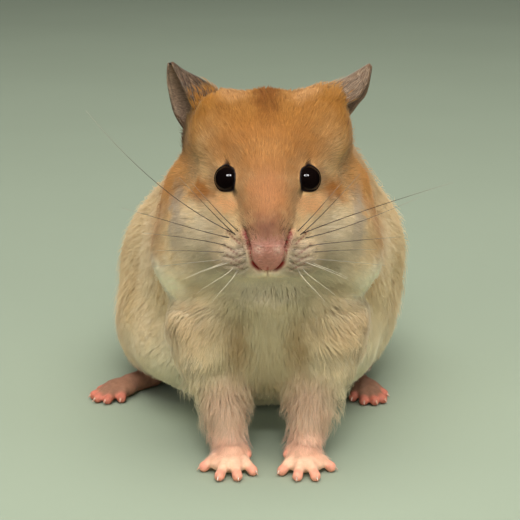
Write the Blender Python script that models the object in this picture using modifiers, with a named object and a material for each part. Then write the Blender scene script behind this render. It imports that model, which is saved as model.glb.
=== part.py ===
"""Syrian hamster at life size, sitting up on straight forelegs and looking ahead.

Metres, +Z up. The animal faces -Y and stands on z = 0, with its right side towards -X. The solids
are the animal with its coat on: their outer faces are where the tips of the hair end.

The body is built up first, the way a sculptor adds clay: round masses for the skull, cheeks, ribs,
rump and limbs, and strings of beads for the slim parts. They are fused, smoothed and thinned out to
a modest number of faces. Thin cuts then part it into the head, trunk, legs, feet and tail. The ears
are cupped sheets, the eyes are balls in sockets, and each claw is a small bent cone.
"""

import math

import bmesh
import bpy
from mathutils import Euler, Matrix, Vector

MM = 0.001

# Driving sizes, in millimetres. The animal is laid out from the nose: y = 0 is the tip of the nose,
# x = 0 is the middle of the head, and z = 0 is the floor.
NOSE_HEIGHT = 47.5
CROWN_HEIGHT = 76.4
RUMP_END = 107.0
HIP_HALF_WIDTH = 33.0
RUMP_SHIFT = -1.3  # the hind end leans a little to the animal's right of its head
NOSE_FROM_ORIGIN = Vector((4.3, -54.25, 0.0))  # the origin is under the middle of the box round it all

CUT_GAP = 0.3  # width of the thin cuts, and the clearance round the eyes, ears and claws
BODY_VOXEL = 0.9
BODY_SMOOTHING = 60
FOOT_VOXEL = 0.42
FOOT_SMOOTHING = 14
FLESH_TRIANGLES = 5000

EYE = (7.7, 10.3, 60.2)
EYE_RADIUS = 3.1

EAR_RADIUS = 5.8
EAR_THICKNESS = 0.7
EAR_WRAP = 112.0  # degrees the sheet wraps to each side of its back, at the root
EAR_TIP_WRAP = 78.0
# The foot of the ear inside the head, its tip, and the way its hollow faces. The right ear is turned
# out to the front, and the left ear is laid back.
EAR_RIGHT = ((-12.3, 25.5, 66.0), (-20.2, 25.0, 80.4), (-0.86, -0.50, -0.05))
EAR_LEFT = ((12.8, 26.5, 66.5), (21.4, 29.5, 79.6), (0.80, 0.36, -0.46))

FOREPAW = (7.4, 8.6, 0.0)
FORE_TOE_THICKNESS = 0.95
FORE_TOES = (  # (direction in degrees outward from straight ahead, length from the palm's middle)
    (-125, 4.8),
    (-42, 7.8),
    (-10, 9.2),
    (16, 9.4),
    (62, 7.4),
)
HIND_TOE_THICKNESS = 1.1
HIND_TOES = (
    (-36, 7.6),
    (-16, 9.6),
    (0, 10.2),
    (15, 9.8),
    (36, 7.6),
)
HINDFOOT_LEFT = ((21.8, 53.0, 0.0), 18.0)  # (middle of the sole, degrees the foot points outward)
HINDFOOT_RIGHT = ((-32.0, 52.5, 0.0), 46.0)
BELLY = ((-1.3, 46.5, 14.6), (30.0, 16.0, 14.2))  # a low broad mass that hangs almost to the floor
COLLAR = ((14.2, 31.0, 49.5), (9.9, 13.0, 12.9))  # the thick ruff that makes the neck as wide as the head
THIGH_LEFT = ((22.0, 63.0, 19.6), (10.0, 18.0, 16.0))
THIGH_RIGHT = ((-25.6, 62.5, 17.0), (9.6, 18.0, 16.0))

CLAW_LENGTH = 1.1
CLAW_THICKNESS = 0.42
CLAW_SIDES = 5

COLOURS = {  # name: (red, green, blue, roughness)
    "coat_gold": (0.55, 0.27, 0.09, 0.9),
    "coat_cream": (0.62, 0.50, 0.33, 0.9),
    "bare_pink": (0.72, 0.36, 0.28, 0.6),
    "ear_grey": (0.24, 0.16, 0.13, 0.8),
    "eye_black": (0.005, 0.004, 0.004, 0.05),
    "claw_horn": (0.62, 0.45, 0.36, 0.35),
}


def mirrored(point, side):
    """The point on the animal's left (side +1) or right (side -1)."""
    return Vector((point[0] * side, point[1], point[2]))


def ahead(angle, side):
    """A level direction, turned outward from straight ahead by an angle in degrees."""
    turn = math.radians(angle)
    return Vector((math.sin(turn) * side, -math.cos(turn), 0))


def ramp(value, start, end):
    return min(1.0, max(0.0, (value - start) / (end - start)))


# ---------------------------------------------------------------- clay

class Clay:
    """Round masses collected in one mesh, ready to be fused."""

    def __init__(self):
        self.mesh = bmesh.new()

    def ball(self, centre, radii, pitch=0.0, yaw=0.0, under=None, detail=3):
        """An ellipsoid. Pitch turns its front end down and yaw turns it to the animal's right, in
        degrees. Under is the radius of its lower half, where that differs."""
        if isinstance(radii, (int, float)):
            radii = (radii, radii, radii)
        turn = Euler((math.radians(pitch), 0, math.radians(yaw)), "ZYX").to_matrix().to_4x4()
        place = Matrix.Translation(Vector(centre)) @ turn
        made = bmesh.ops.create_icosphere(self.mesh, subdivisions=detail, radius=1.0)
        for vertex in made["verts"]:
            height = radii[2] if vertex.co.z > 0 or under is None else under
            vertex.co = place @ Vector(
                (vertex.co.x * radii[0], vertex.co.y * radii[1], vertex.co.z * height)
            )

    def pair(self, centre, radii, pitch=0.0, yaw=0.0, middle=0.0):
        """The same mass on both sides of the plane x = middle."""
        for side in (1, -1):
            place = (middle + centre[0] * side, centre[1], centre[2])
            self.ball(place, radii, pitch, yaw * side)

    def string(self, *beads):
        """Beads from (point, radius) to (point, radius), close enough to fuse into a limb."""
        for (start, first), (end, last) in zip(beads, beads[1:]):
            start, end = Vector(start), Vector(end)
            count = max(2, math.ceil((end - start).length / (0.35 * min(first, last))))
            for i in range(count + 1):
                share = i / count
                self.ball(start.lerp(end, share), first + (last - first) * share, detail=2)

    def object(self, name):
        mesh = bpy.data.meshes.new(name)
        self.mesh.transform(to_world())
        self.mesh.to_mesh(mesh)
        self.mesh.free()
        return linked(name, mesh)


def to_world():
    """From the layout's millimetres to metres about the origin."""
    return Matrix.Scale(MM, 4) @ Matrix.Translation(NOSE_FROM_ORIGIN)


def from_nose(vertex):
    """Where a vertex is in the layout's own millimetres."""
    return vertex.co / MM - NOSE_FROM_ORIGIN


def linked(name, mesh):
    made = bpy.data.objects.new(name, mesh)
    bpy.context.scene.collection.objects.link(made)
    return made


def add_head(clay):
    clay.ball((0, 24.0, CROWN_HEIGHT - 16.0), (16.4, 17.0, 15.6))  # cranium
    clay.pair((8.0, 24.5, CROWN_HEIGHT - 10.4), (9.8, 12.5, 10.2))  # crown, broad between the ears
    clay.ball((0, 13.5, 58.6), (9.6, 12.0, 9.0), pitch=42)  # forehead and bridge of the nose
    clay.ball((0, 6.8, 51.6), (6.8, 9.0, 6.0), pitch=34)  # snout
    clay.ball((0, 3.0, NOSE_HEIGHT), (4.4, 3.2, 4.0), pitch=20)  # nose pad
    clay.ball((0, 10.5, 47.0), (12.0, 8.6, 7.5))  # muzzle
    clay.pair((5.4, 7.4, 46.0), (7.4, 6.6, 5.5), yaw=-22)  # whisker pads
    clay.ball((0, 10.0, 43.0), (8.8, 7.0, 3.6))  # chin
    clay.ball((0, 21.5, 53.0), (18.0, 15.5, 16.0))  # cheek bones
    clay.pair((10.5, 20.5, 47.0), (12.6, 13.0, 10.5), yaw=-15)  # cheeks
    clay.pair((12.2, 21.5, 42.6), (13.0, 13.0, 9.0))  # jowls


def trunk_rib(back):
    """The cross-section of the trunk at a distance back from the nose: the height of its middle,
    its half width, and its reach above and below the middle. A smooth curve runs through these."""
    stations = (
        (18.0, 47.0, 19.0, 14.0, 16.0),
        (30.0, 45.0, 21.5, 21.0, 22.0),
        (41.0, 39.5, 25.0, 28.0, 26.0),
        (53.0, 33.0, 30.2, 34.5, 27.0),
        (65.0, 28.5, HIP_HALF_WIDTH + 0.6, 37.2, 27.0),
        (77.0, 25.5, HIP_HALF_WIDTH + 1.4, 34.6, 29.0),
        (88.0, 22.5, 30.8, 28.4, 26.0),
        (97.5, 19.5, 22.0, 19.5, 18.0),
        (106.0, 17.0, 12.0, 9.0, 9.0),
    )
    for before, start, end, after in zip(stations, stations[1:], stations[2:], stations[3:]):
        if start[0] <= back <= end[0]:
            share = (back - start[0]) / (end[0] - start[0])
            return [
                b + share * (
                    (c - a) / 2 + share * (a - 2.5 * b + 2 * c - d / 2
                                           + share * (1.5 * (b - c) + (d - a) / 2))
                )
                for a, b, c, d in zip(before[1:], start[1:], end[1:], after[1:])
            ]


def lean(point):
    """Narrows the trunk above the flanks, and leans its hind part over to the animal's left."""
    point.x *= 1 - 0.14 * ramp(point.z, 36.0, 50.0)
    point.x += 0.075 * (point.z - 23.0) * ramp(point.y, 40.0, 65.0)


def add_trunk(clay):
    for back in range(30, 98):
        middle, half, above, below = trunk_rib(back)
        shift = RUMP_SHIFT * ramp(back, 42.0, 75.0)
        clay.ball((shift, back, middle), (half, 10.5, above), under=below)
    for vertex in clay.mesh.verts:
        lean(vertex.co)
    clay.ball((0, 27, 31), (17.5, 16.5, 20.0), under=22.6)  # chest
    clay.ball(*BELLY)
    clay.pair(*COLLAR)
    clay.ball(*THIGH_LEFT)
    clay.ball(*THIGH_RIGHT)


def add_tail(clay):
    clay.string(
        ((RUMP_SHIFT, RUMP_END - 8.0, 11.0), 3.4), ((RUMP_SHIFT, RUMP_END + 1.8, 6.2), 1.7)
    )


def add_foreleg(clay, side):
    clay.ball(mirrored((13.4, 21.0, 27.5), side), (8.4, 10.0, 12.0))  # upper arm
    clay.string(
        (mirrored((11.6, 19.5, 19.0), side), 7.8),
        (mirrored((9.5, 15.8, 12.0), side), 5.5),
        (mirrored((8.2, 12.6, 6.6), side), 3.8),
        (mirrored((7.7, 10.2, 3.6), side), 2.9),
    )


def toe(clay, middle, angle, length, side, thick):
    """One toe from the palm, over its knuckle, to its tip on the floor. Returns its tip and its
    direction, for its claw."""
    middle, direction = Vector(middle), ahead(angle, side)
    root = middle + direction * (length * 0.3) + Vector((0, 0, thick * 1.7))
    knuckle = middle + direction * (length * 0.66) + Vector((0, 0, thick * 1.9))
    tip = middle + direction * (length - thick) + Vector((0, 0, thick * 0.8))
    clay.string((root, thick * 1.15), (knuckle, thick * 0.95), (tip, thick))
    return tip, direction


def add_forepaw(clay, side):
    palm = mirrored(FOREPAW, side)
    clay.ball(palm + Vector((0, 0, 2.2)), (3.5, 3.7, 2.4), pitch=12)
    clay.pair((1.5, palm.y + 2.4, 1.0), (1.3, 1.5, 1.3), middle=palm.x)  # heel pads
    return [toe(clay, palm, angle, length, side, FORE_TOE_THICKNESS) for angle, length in FORE_TOES]


def add_hindfoot(clay, place, side):
    middle, angle = place
    middle, forward = Vector(middle), ahead(angle, side)
    heel = middle - forward * 7.0 + Vector((0, 0, 2.4))
    clay.string(
        (middle - forward * 9.5 + Vector((0, 0, 9.0)), 6.0), (heel + Vector((0, 0, 1.0)), 3.7)
    )
    clay.string((heel, 2.6), (middle + Vector((0, 0, 2.3)), 2.5))
    clay.ball(middle + forward * 2.2 + Vector((0, 0, 2.0)), (3.9, 3.6, 2.3), yaw=-angle * side)
    return [
        toe(clay, middle, angle + spread, length, side, HIND_TOE_THICKNESS)
        for spread, length in HIND_TOES
    ]


# ---------------------------------------------------------------- fusing and thinning out

def settle(obj):
    """Applies the object's modifiers."""
    graph = bpy.context.evaluated_depsgraph_get()
    mesh = bpy.data.meshes.new_from_object(obj.evaluated_get(graph), depsgraph=graph)
    obj.modifiers.clear()
    obj.vertex_groups.clear()
    obj.data = mesh


def fused(obj, voxel):
    remesh = obj.modifiers.new("fuse", "REMESH")
    remesh.mode = "VOXEL"
    remesh.voxel_size = voxel * MM
    settle(obj)


def smoothed(obj, rounds, softness):
    group = obj.vertex_groups.new(name="soft")
    for vertex in obj.data.vertices:
        group.add([vertex.index], softness(from_nose(vertex)), "REPLACE")
    smooth = obj.modifiers.new("smooth", "SMOOTH")
    smooth.factor = 0.5
    smooth.iterations = rounds
    smooth.vertex_group = group.name
    settle(obj)


def thinned(obj, triangles):
    obj.data.calc_loop_triangles()
    thin = obj.modifiers.new("thin", "DECIMATE")
    thin.ratio = triangles / len(obj.data.loop_triangles)
    settle(obj)


def body_softness(point):
    """How much a spot of the body is smoothed: less on the snout, fully elsewhere."""
    return max(0.18, ramp(point.y, 5.0, 17.0), 1 - ramp(point.z, 33.0, 37.0))


def foot_softness(point):
    return max(0.05, ramp(point.z, 4.0, 12.0))


def body_and_claw_places():
    """Head, trunk and limbs in one closed surface, and where each claw goes."""
    clay = Clay()
    add_trunk(clay)
    add_head(clay)
    for side in (1, -1):
        add_foreleg(clay, side)
    body = clay.object("body")
    fused(body, BODY_VOXEL)
    smoothed(body, BODY_SMOOTHING, body_softness)

    clay = Clay()
    clay.mesh.from_mesh(body.data)
    clay.mesh.transform(to_world().inverted())
    bpy.data.objects.remove(body)
    add_tail(clay)
    claws = {
        "claw_fore_left": add_forepaw(clay, 1),
        "claw_fore_right": add_forepaw(clay, -1),
        "claw_hind_left": add_hindfoot(clay, HINDFOOT_LEFT, 1),
        "claw_hind_right": add_hindfoot(clay, HINDFOOT_RIGHT, -1),
    }
    whole = clay.object("whole")
    fused(whole, FOOT_VOXEL)
    smoothed(whole, FOOT_SMOOTHING, foot_softness)
    thinned(whole, FLESH_TRIANGLES)
    return whole, claws


# ---------------------------------------------------------------- cuts

def cutter(obj):
    bpy.context.scene.collection.objects.unlink(obj)
    bpy.data.collections["cutters"].objects.link(obj)
    obj.hide_render = True
    obj.display_type = "WIRE"
    return obj


def block(name, centre, size, pitch=0.0):
    """A box in the layout's millimetres. Pitch turns its front end down."""
    clay = Clay()
    turn = Matrix.Rotation(math.radians(pitch), 4, "X")
    place = Matrix.Translation(Vector(centre)) @ turn @ Matrix.Diagonal((*size, 1.0))
    bmesh.ops.create_cube(clay.mesh, size=1.0, matrix=place)
    return cutter(clay.object(name))


def bubble(name, centre, radii, pitch=0.0, yaw=0.0):
    clay = Clay()
    clay.ball(centre, radii, pitch, yaw, detail=2)
    return cutter(clay.object(name))


def grown(obj, distance):
    """A copy of an object, pushed out along its own faces."""
    copy = linked(obj.name + "_grown", obj.data.copy())
    push = copy.modifiers.new("push", "DISPLACE")
    push.strength = distance * MM
    push.mid_level = 0.0
    settle(copy)
    return cutter(copy)


def cut(obj, tool, operation="DIFFERENCE"):
    boolean = obj.modifiers.new("cut", "BOOLEAN")
    boolean.operation = operation
    boolean.solver = "EXACT"
    boolean.object = tool
    settle(obj)


def taken(whole, name, region):
    """Parts what lies inside the region from the whole, leaving a thin gap between the two."""
    part = linked(name, whole.data.copy())
    cut(part, region, "INTERSECT")
    cut(whole, grown(region, CUT_GAP))
    return part


def parted(whole):
    """The body as its named parts. What is left of it in the end is the trunk."""
    cut(whole, block("floor", (0, 50, -10), (120, 160, 20)))
    taken(whole, "head", block("neck_cut", (0, -18.0, 77.3), (120, 80, 100), pitch=48))
    for side, word in ((1, "left"), (-1, "right")):
        paw = FOREPAW[0] * side
        taken(whole, "forepaw_" + word, block("wrist_cut", (paw, 7.0, 0.0), (14.6, 24, 11.0)))
        taken(whole, "foreleg_" + word, bubble(
            "elbow_cut", (13.0 * side, 16.0, 11.5), (11.4, 11.0, 15.5), pitch=-14, yaw=-4 * side
        ))
    for foot, word in ((HINDFOOT_LEFT, "left"), (HINDFOOT_RIGHT, "right")):
        side = 1 if word == "left" else -1
        middle = Vector(foot[0]) + ahead(foot[1], side) * 1.5
        taken(whole, "hindfoot_" + word, bubble(
            "ankle_cut", middle, (12.5, 14.5, 7.0), yaw=-foot[1] * side
        ))
    for thigh, word in ((THIGH_LEFT, "left"), (THIGH_RIGHT, "right")):
        centre, radii = Vector(thigh[0]), Vector(thigh[1])
        side = 1 if word == "left" else -1
        centre += Vector((4.0 * side, 0, -1.5))
        taken(whole, "hindleg_" + word, bubble("hip_cut", centre, radii * 1.05))
    taken(whole, "tail", bubble("tail_cut", (RUMP_SHIFT, RUMP_END + 2.0, 7.0), (6.5, 7.0, 8.0)))
    whole.name = "trunk"


# ---------------------------------------------------------------- ears, eyes and claws

def ear_radius(share):
    """Half the width of the ear, from its root (0) to its tip (1)."""
    return EAR_RADIUS * (1 - share ** 2.2) ** 0.9 + 0.3


def ear(name, foot, tip, facing):
    """A cupped sheet that narrows to a blunt point."""
    foot, tip = Vector(foot), Vector(tip)
    axis = (tip - foot).normalized()
    facing = Vector(facing)
    facing = (facing - axis * facing.dot(axis)).normalized()
    across = axis.cross(facing)
    steps, turns = 7, 8
    shape = bmesh.new()
    rows = []
    for i in range(steps + 1):
        share = i / steps
        middle = foot.lerp(tip, share)
        wrap = math.radians(EAR_WRAP + (EAR_TIP_WRAP - EAR_WRAP) * share)
        angles = [wrap * (2 * j / turns - 1) for j in range(turns + 1)]
        radius = ear_radius(share)
        rows.append([
            shape.verts.new(middle + (across * math.sin(a) - facing * math.cos(a)) * radius)
            for a in angles
        ])
    for low, high in zip(rows, rows[1:]):
        for corners in zip(low, low[1:], high[1:], high):
            shape.faces.new(corners)
    shape.transform(to_world())
    mesh = bpy.data.meshes.new(name)
    shape.to_mesh(mesh)
    shape.free()
    made = linked(name, mesh)
    thick = made.modifiers.new("thick", "SOLIDIFY")
    thick.thickness = EAR_THICKNESS * MM
    thick.offset = 0.0
    settle(made)
    return made


def eye(head, name, side):
    """An eyeball, and the socket it sits in."""
    place = mirrored(EYE, side)
    cut(head, bubble("socket", place, [EYE_RADIUS + CUT_GAP] * 3))
    clay = Clay()
    clay.ball(place, EYE_RADIUS)
    return clay.object(name)


def claw(name, tip, direction, thick):
    """A small cone that bends down from the end of a toe and stops just above the floor."""
    root = tip + direction * (thick + CUT_GAP)
    shape = bmesh.new()
    rings = []
    across = direction.cross(Vector((0, 0, 1)))
    for share in (0.0, 0.5):
        radius = CLAW_THICKNESS * (1 - share)
        middle = root + direction * (CLAW_LENGTH * share) - Vector((0, 0, 0.35 * share))
        rings.append([
            shape.verts.new(middle + across * math.cos(a) * radius + Vector((0, 0, math.sin(a) * radius)))
            for a in (math.tau * i / CLAW_SIDES for i in range(CLAW_SIDES))
        ])
    point = shape.verts.new(root + direction * CLAW_LENGTH - Vector((0, 0, 0.55)))
    shape.faces.new(rings[0])
    for i in range(CLAW_SIDES):
        j = (i + 1) % CLAW_SIDES
        shape.faces.new((rings[0][i], rings[0][j], rings[1][j], rings[1][i]))
        shape.faces.new((rings[1][i], rings[1][j], point))
    bmesh.ops.recalc_face_normals(shape, faces=shape.faces)
    shape.transform(to_world())
    mesh = bpy.data.meshes.new(name)
    shape.to_mesh(mesh)
    shape.free()
    return linked(name, mesh)


# ---------------------------------------------------------------- colours

def material(name):
    made = bpy.data.materials.new(name)
    made.use_nodes = True
    red, green, blue, roughness = COLOURS[name]
    shader = made.node_tree.nodes["Principled BSDF"]
    shader.inputs["Base Color"].default_value = (red, green, blue, 1)
    shader.inputs["Roughness"].default_value = roughness
    made.diffuse_color = (red, green, blue, 1)
    return made


def colour_of(name):
    words = {
        "head": "coat_gold", "trunk": "coat_gold", "hindleg": "coat_gold", "foreleg": "coat_cream",
        "forepaw": "bare_pink", "hindfoot": "bare_pink", "tail": "bare_pink",
        "ear": "ear_grey", "eye": "eye_black", "claw": "claw_horn",
    }
    return words[name.split("_")[0]]


def main():
    for obj in list(bpy.data.objects):
        bpy.data.objects.remove(obj)
    scene = bpy.context.scene.collection
    scene.children.link(bpy.data.collections.new("cutters"))
    whole, claws = body_and_claw_places()
    parted(whole)
    head = bpy.data.objects["head"]
    skull = grown(head, CUT_GAP)
    cut(ear("ear_right", *EAR_RIGHT), skull)
    cut(ear("ear_left", *EAR_LEFT), skull)
    eye(head, "eye_left", 1)
    eye(head, "eye_right", -1)
    for name, places in claws.items():
        thick = FORE_TOE_THICKNESS if "fore" in name else HIND_TOE_THICKNESS
        for number, (tip, direction) in enumerate(places, 1):
            if "fore" in name and number == 1:
                continue  # the thumb has only a flat nail
            claw(f"{name}_{number}", tip, direction, thick)

    animal = bpy.data.collections.new("syrian_hamster")
    scene.children.link(animal)
    materials = {name: material(name) for name in COLOURS}
    for obj in list(scene.objects):
        scene.objects.unlink(obj)
        animal.objects.link(obj)
        obj.data.materials.clear()
        obj.data.materials.append(materials[colour_of(obj.name)])


main()
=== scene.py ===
# %% [markdown]
# # A Syrian hamster at life size
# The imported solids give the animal's outline out to the tips of its coat. This script dresses them:
# one skin lies inside the outline by the depth of the coat, and many small tufts of hair grow out
# of the skin and reach that outline again. Eyes, claws and whiskers are pieces of their own.
#
# ## The frame
# Everything is laid out in millimetres from the tip of the nose: x to the animal's left, y back
# along the body and z up from the floor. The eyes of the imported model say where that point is.

# %% Load the frame and find the nose
import math

import bmesh
import bpy
import numpy as np
from mathutils import Matrix, Vector, noise
from mathutils.bvhtree import BVHTree
from mathutils.kdtree import KDTree


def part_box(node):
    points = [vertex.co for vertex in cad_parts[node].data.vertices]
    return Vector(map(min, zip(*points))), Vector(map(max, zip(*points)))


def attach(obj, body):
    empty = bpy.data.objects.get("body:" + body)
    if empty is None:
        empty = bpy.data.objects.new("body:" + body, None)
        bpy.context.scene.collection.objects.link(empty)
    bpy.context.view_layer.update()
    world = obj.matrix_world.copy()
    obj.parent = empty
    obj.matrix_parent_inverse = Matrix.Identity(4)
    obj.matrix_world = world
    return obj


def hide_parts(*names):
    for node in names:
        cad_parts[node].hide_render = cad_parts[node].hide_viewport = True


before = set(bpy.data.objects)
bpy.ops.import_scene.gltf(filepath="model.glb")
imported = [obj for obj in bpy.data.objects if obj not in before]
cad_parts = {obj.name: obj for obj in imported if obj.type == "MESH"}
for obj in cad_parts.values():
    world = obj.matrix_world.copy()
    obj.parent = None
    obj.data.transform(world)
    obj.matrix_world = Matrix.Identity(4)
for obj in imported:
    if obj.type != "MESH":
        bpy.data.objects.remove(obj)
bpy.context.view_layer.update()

MM = 0.001
SIDES = ((1, "left"), (-1, "right"))  # x is positive on the animal's left
EYE_SET_BACK = 10.3  # how far the middle of the eyes lies behind the tip of the nose


def box_middle(node):
    low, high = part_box(node)
    return (low + high) / 2


eye_left, eye_right = box_middle("eye_left"), box_middle("eye_right")
NOSE = Vector(((eye_left.x + eye_right.x) / 2, eye_left.y - EYE_SET_BACK * MM, 0))
TO_NOSE = Matrix.Scale(1 / MM, 4) @ Matrix.Translation(-NOSE)
TO_WORLD = TO_NOSE.inverted()


def from_nose(point):
    """A point of the frame, in millimetres from the nose."""
    return TO_NOSE @ Vector(point)


EYES = {1: from_nose(eye_left), -1: from_nose(eye_right)}
low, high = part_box("eye_left")
EYE_RADIUS = (high.z - low.z) / 2 / MM
rng = np.random.default_rng(7)
print("eyes at", EYES, "radius", round(EYE_RADIUS, 2))

# %% [markdown]
# ## The lie and depth of the coat
# A groom knows how the hair runs at a few dozen places, and the rest of the coat blends between
# them. Each guide below says where it is, which way the hair runs, how long it is, how deep the
# coat is there, how wide one tuft is and how many tufts grow on a square millimetre. The guides
# hold for both sides of the body: x counts outward, and so does the first number of the direction.

# %% Guides for the coat
GUIDES = {
    # name: (place, direction, length, depth, width, tufts per square millimetre)
    "nose bridge": ((0, 3.0, 53.0), (0, 0.5, 0.85), 0.8, 0.16, 0.1, 40),
    "snout side": ((4.5, 5.5, 50.5), (0.55, 0.7, 0.3), 1.0, 0.2, 0.1, 42),
    "whisker pad": ((6.5, 4.0, 46.0), (0.8, 0.6, -0.15), 1.2, 0.24, 0.1, 40),
    "lip": ((3.5, 4.0, 42.0), (0.6, 0.5, -0.6), 1.4, 0.3, 0.1, 40),
    "chin": ((0, 8.0, 40.0), (0, 0.8, -0.6), 2.6, 0.8, 0.12, 24),
    "bridge": ((0, 6.0, 57.5), (0, 0.6, 0.8), 1.4, 0.32, 0.1, 40),
    "eye inner corner": ((5.0, 7.5, 58.5), (0.25, 0.6, 0.75), 1.2, 0.28, 0.09, 44),
    "forehead": ((0, 10.5, 65.5), (0, 0.6, 0.8), 2.8, 0.8, 0.12, 28),
    "brow": ((7.5, 10.5, 65.0), (0.35, 0.55, 0.75), 2.2, 0.55, 0.11, 32),
    "under eye": ((8.5, 9.0, 55.0), (0.85, 0.5, -0.15), 1.9, 0.45, 0.1, 36),
    "outer eye corner": ((12.0, 13.0, 60.0), (0.6, 0.8, 0.1), 2.4, 0.6, 0.11, 30),
    "cheek": ((14.0, 14.0, 51.5), (0.75, 0.6, -0.35), 4.2, 1.2, 0.13, 20),
    "cheek front": ((11.0, 8.5, 47.5), (0.75, 0.55, -0.35), 3.0, 0.8, 0.11, 28),
    "jaw": ((13.0, 12.0, 43.5), (0.75, 0.3, -0.6), 5.2, 1.7, 0.14, 18),
    "jowl": ((20.5, 21.0, 46.0), (0.45, 0.7, -0.5), 7.0, 2.3, 0.18, 11),
    "throat": ((0, 14.0, 36.0), (0, 0.45, -0.9), 5.5, 2.0, 0.16, 12),
    "crown": ((0, 21.0, 75.0), (0, 0.97, 0.3), 4.8, 1.6, 0.16, 15),
    "crown side": ((9.0, 20.0, 75.0), (0.25, 0.9, 0.3), 4.2, 1.4, 0.16, 15),
    "ear foot": ((13.5, 18.0, 70.0), (0.35, 0.5, 0.8), 4.6, 1.5, 0.14, 17),
    "temple": ((16.5, 19.0, 61.0), (0.8, 0.6, -0.1), 6.5, 2.3, 0.16, 14),
    "head side": ((16.5, 20.0, 67.5), (0.7, 0.7, 0.15), 5.5, 2.0, 0.15, 16),
    "nape": ((0, 38.0, 67.0), (0, 1.0, -0.05), 9.0, 3.4, 0.21, 7.5),
    "ruff top": ((20.0, 27.0, 60.0), (0.45, 0.65, -0.6), 6.5, 2.3, 0.17, 12),
    "ruff": ((24.0, 28.0, 49.0), (0.3, 0.6, -0.75), 8.0, 2.8, 0.18, 10),
    "neck side": ((22.0, 38.0, 52.0), (0.15, 0.85, -0.5), 9.0, 3.2, 0.21, 8),
    "shoulder": ((24.0, 36.0, 38.0), (0.2, 0.65, -0.75), 9.5, 3.6, 0.21, 7.5),
    "breast": ((0, 11.5, 30.0), (0, 0.05, -1.0), 7.5, 2.8, 0.18, 9.5),
    "breast side": ((11.0, 12.0, 32.0), (0.5, 0.1, -0.85), 7.5, 2.8, 0.18, 9.5),
    "upper arm": ((18.5, 16.0, 25.0), (0.3, 0.25, -0.9), 6.5, 2.3, 0.18, 10.5),
    "elbow": ((14.0, 21.0, 15.0), (0.25, 0.5, -0.85), 5.8, 1.9, 0.17, 12),
    "forearm": ((10.5, 12.0, 12.0), (0.05, 0.0, -1.0), 4.6, 1.3, 0.14, 18),
    "wrist": ((8.0, 10.0, 7.0), (0.15, -0.1, -1.0), 3.6, 0.9, 0.11, 22),
    "paw back": ((7.6, 8.0, 4.6), (0.05, -0.6, -0.7), 1.9, 0.36, 0.09, 26),
    "forepaw": ((7.4, 4.0, 3.0), (0, -0.9, -0.3), 0.8, 0.1, 0.08, 12),
    "back": ((0, 66.0, 66.0), (0, 1.0, -0.05), 10.0, 3.8, 0.22, 6.8),
    "back side": ((20.0, 66.0, 54.0), (0.15, 0.9, -0.4), 10.0, 3.8, 0.22, 6.8),
    "flank": ((31.0, 60.0, 32.0), (0.05, 0.75, -0.65), 10.5, 4.0, 0.22, 6.8),
    "haunch": ((31.0, 72.0, 18.0), (0, 0.7, -0.7), 9.5, 3.6, 0.22, 7),
    "rump": ((0, 98.0, 40.0), (0, 0.5, -0.86), 10.5, 4.0, 0.22, 6.6),
    "rump foot": ((0, 102.0, 14.0), (0, 0.35, -0.93), 7.5, 2.8, 0.21, 7),
    "belly front": ((0, 33.0, 7.0), (0, 0.75, -0.65), 6.5, 2.2, 0.2, 8),
    "belly": ((0, 46.0, 0.5), (0, 0.98, -0.1), 5.0, 1.6, 0.22, 6),
    "belly side": ((22.0, 44.0, 5.0), (0.15, 0.9, -0.4), 5.0, 1.9, 0.19, 10),
    "seat": ((0, 80.0, 0.0), (0, 1.0, 0), 5.0, 1.0, 0.25, 3),
    "knee": ((25.0, 49.0, 14.0), (0.1, 0.2, -0.95), 5.5, 2.0, 0.18, 10),
    "ankle": ((26.0, 58.0, 6.0), (0.1, -0.3, -0.9), 2.2, 0.5, 0.11, 20),
    "hind foot": ((28.0, 50.0, 3.0), (0.3, -0.9, -0.3), 0.8, 0.1, 0.08, 12),
    "tail": ((0, 107.0, 8.0), (0, 0.85, -0.5), 1.2, 0.25, 0.1, 18),
}
guide_place = np.array([g[0] for g in GUIDES.values()], float)
guide_values = np.array([(*g[1], *g[2:]) for g in GUIDES.values()], float)
GUIDE_REACH = 2.0  # millimetres within which one guide has its say alone
MIDLINE = 4.0  # the hair turns outward only this far from the middle of the body


def fold(points):
    """The same points with x counted outward, so that one rule holds for both sides."""
    return np.column_stack((np.abs(points[:, 0]), points[:, 1:]))


def ellipsoid(points, middle, radii):
    """How far out points lie from a middle: the square of a share of the radii, 1 at the shell."""
    return (((points - middle) / radii) ** 2).sum(1)


def coat_at(points):
    """Direction, length, depth, width and density of the coat at points measured from the nose."""
    folded = fold(points)
    out = np.zeros((len(points), guide_values.shape[1]))
    for start in range(0, len(points), 20000):
        part = folded[start:start + 20000]
        gap = np.linalg.norm(part[:, None] - guide_place[None], axis=2)
        pull = 1 / (gap ** 2 + GUIDE_REACH ** 2) ** 2
        out[start:start + 20000] = (pull @ guide_values) / pull.sum(1)[:, None]
    out[:, 0] *= np.clip(points[:, 0] / MIDLINE, -1, 1)
    return out[:, :3], out[:, 3], out[:, 4], out[:, 5], out[:, 6]


print(len(GUIDES), "guides for the coat")

# %% [markdown]
# ## The body under the coat
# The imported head, trunk, legs and tail are parted only by hair-thin gaps. Their faces are pushed
# out until the gaps close, a voxel remesh melts them into one body, and every point then moves in
# along its normal by the depth of the coat, so what is left is the body that the coat grows on.

# %% Mesh helpers
BODY_NODES = ["head", "trunk", "tail", "foreleg_left", "foreleg_right", "hindleg_left",
              "hindleg_right"]
PAW_NODES = ["forepaw_left", "forepaw_right", "hindfoot_left", "hindfoot_right"]
EAR_NODES = ["ear_left", "ear_right"]


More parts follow.
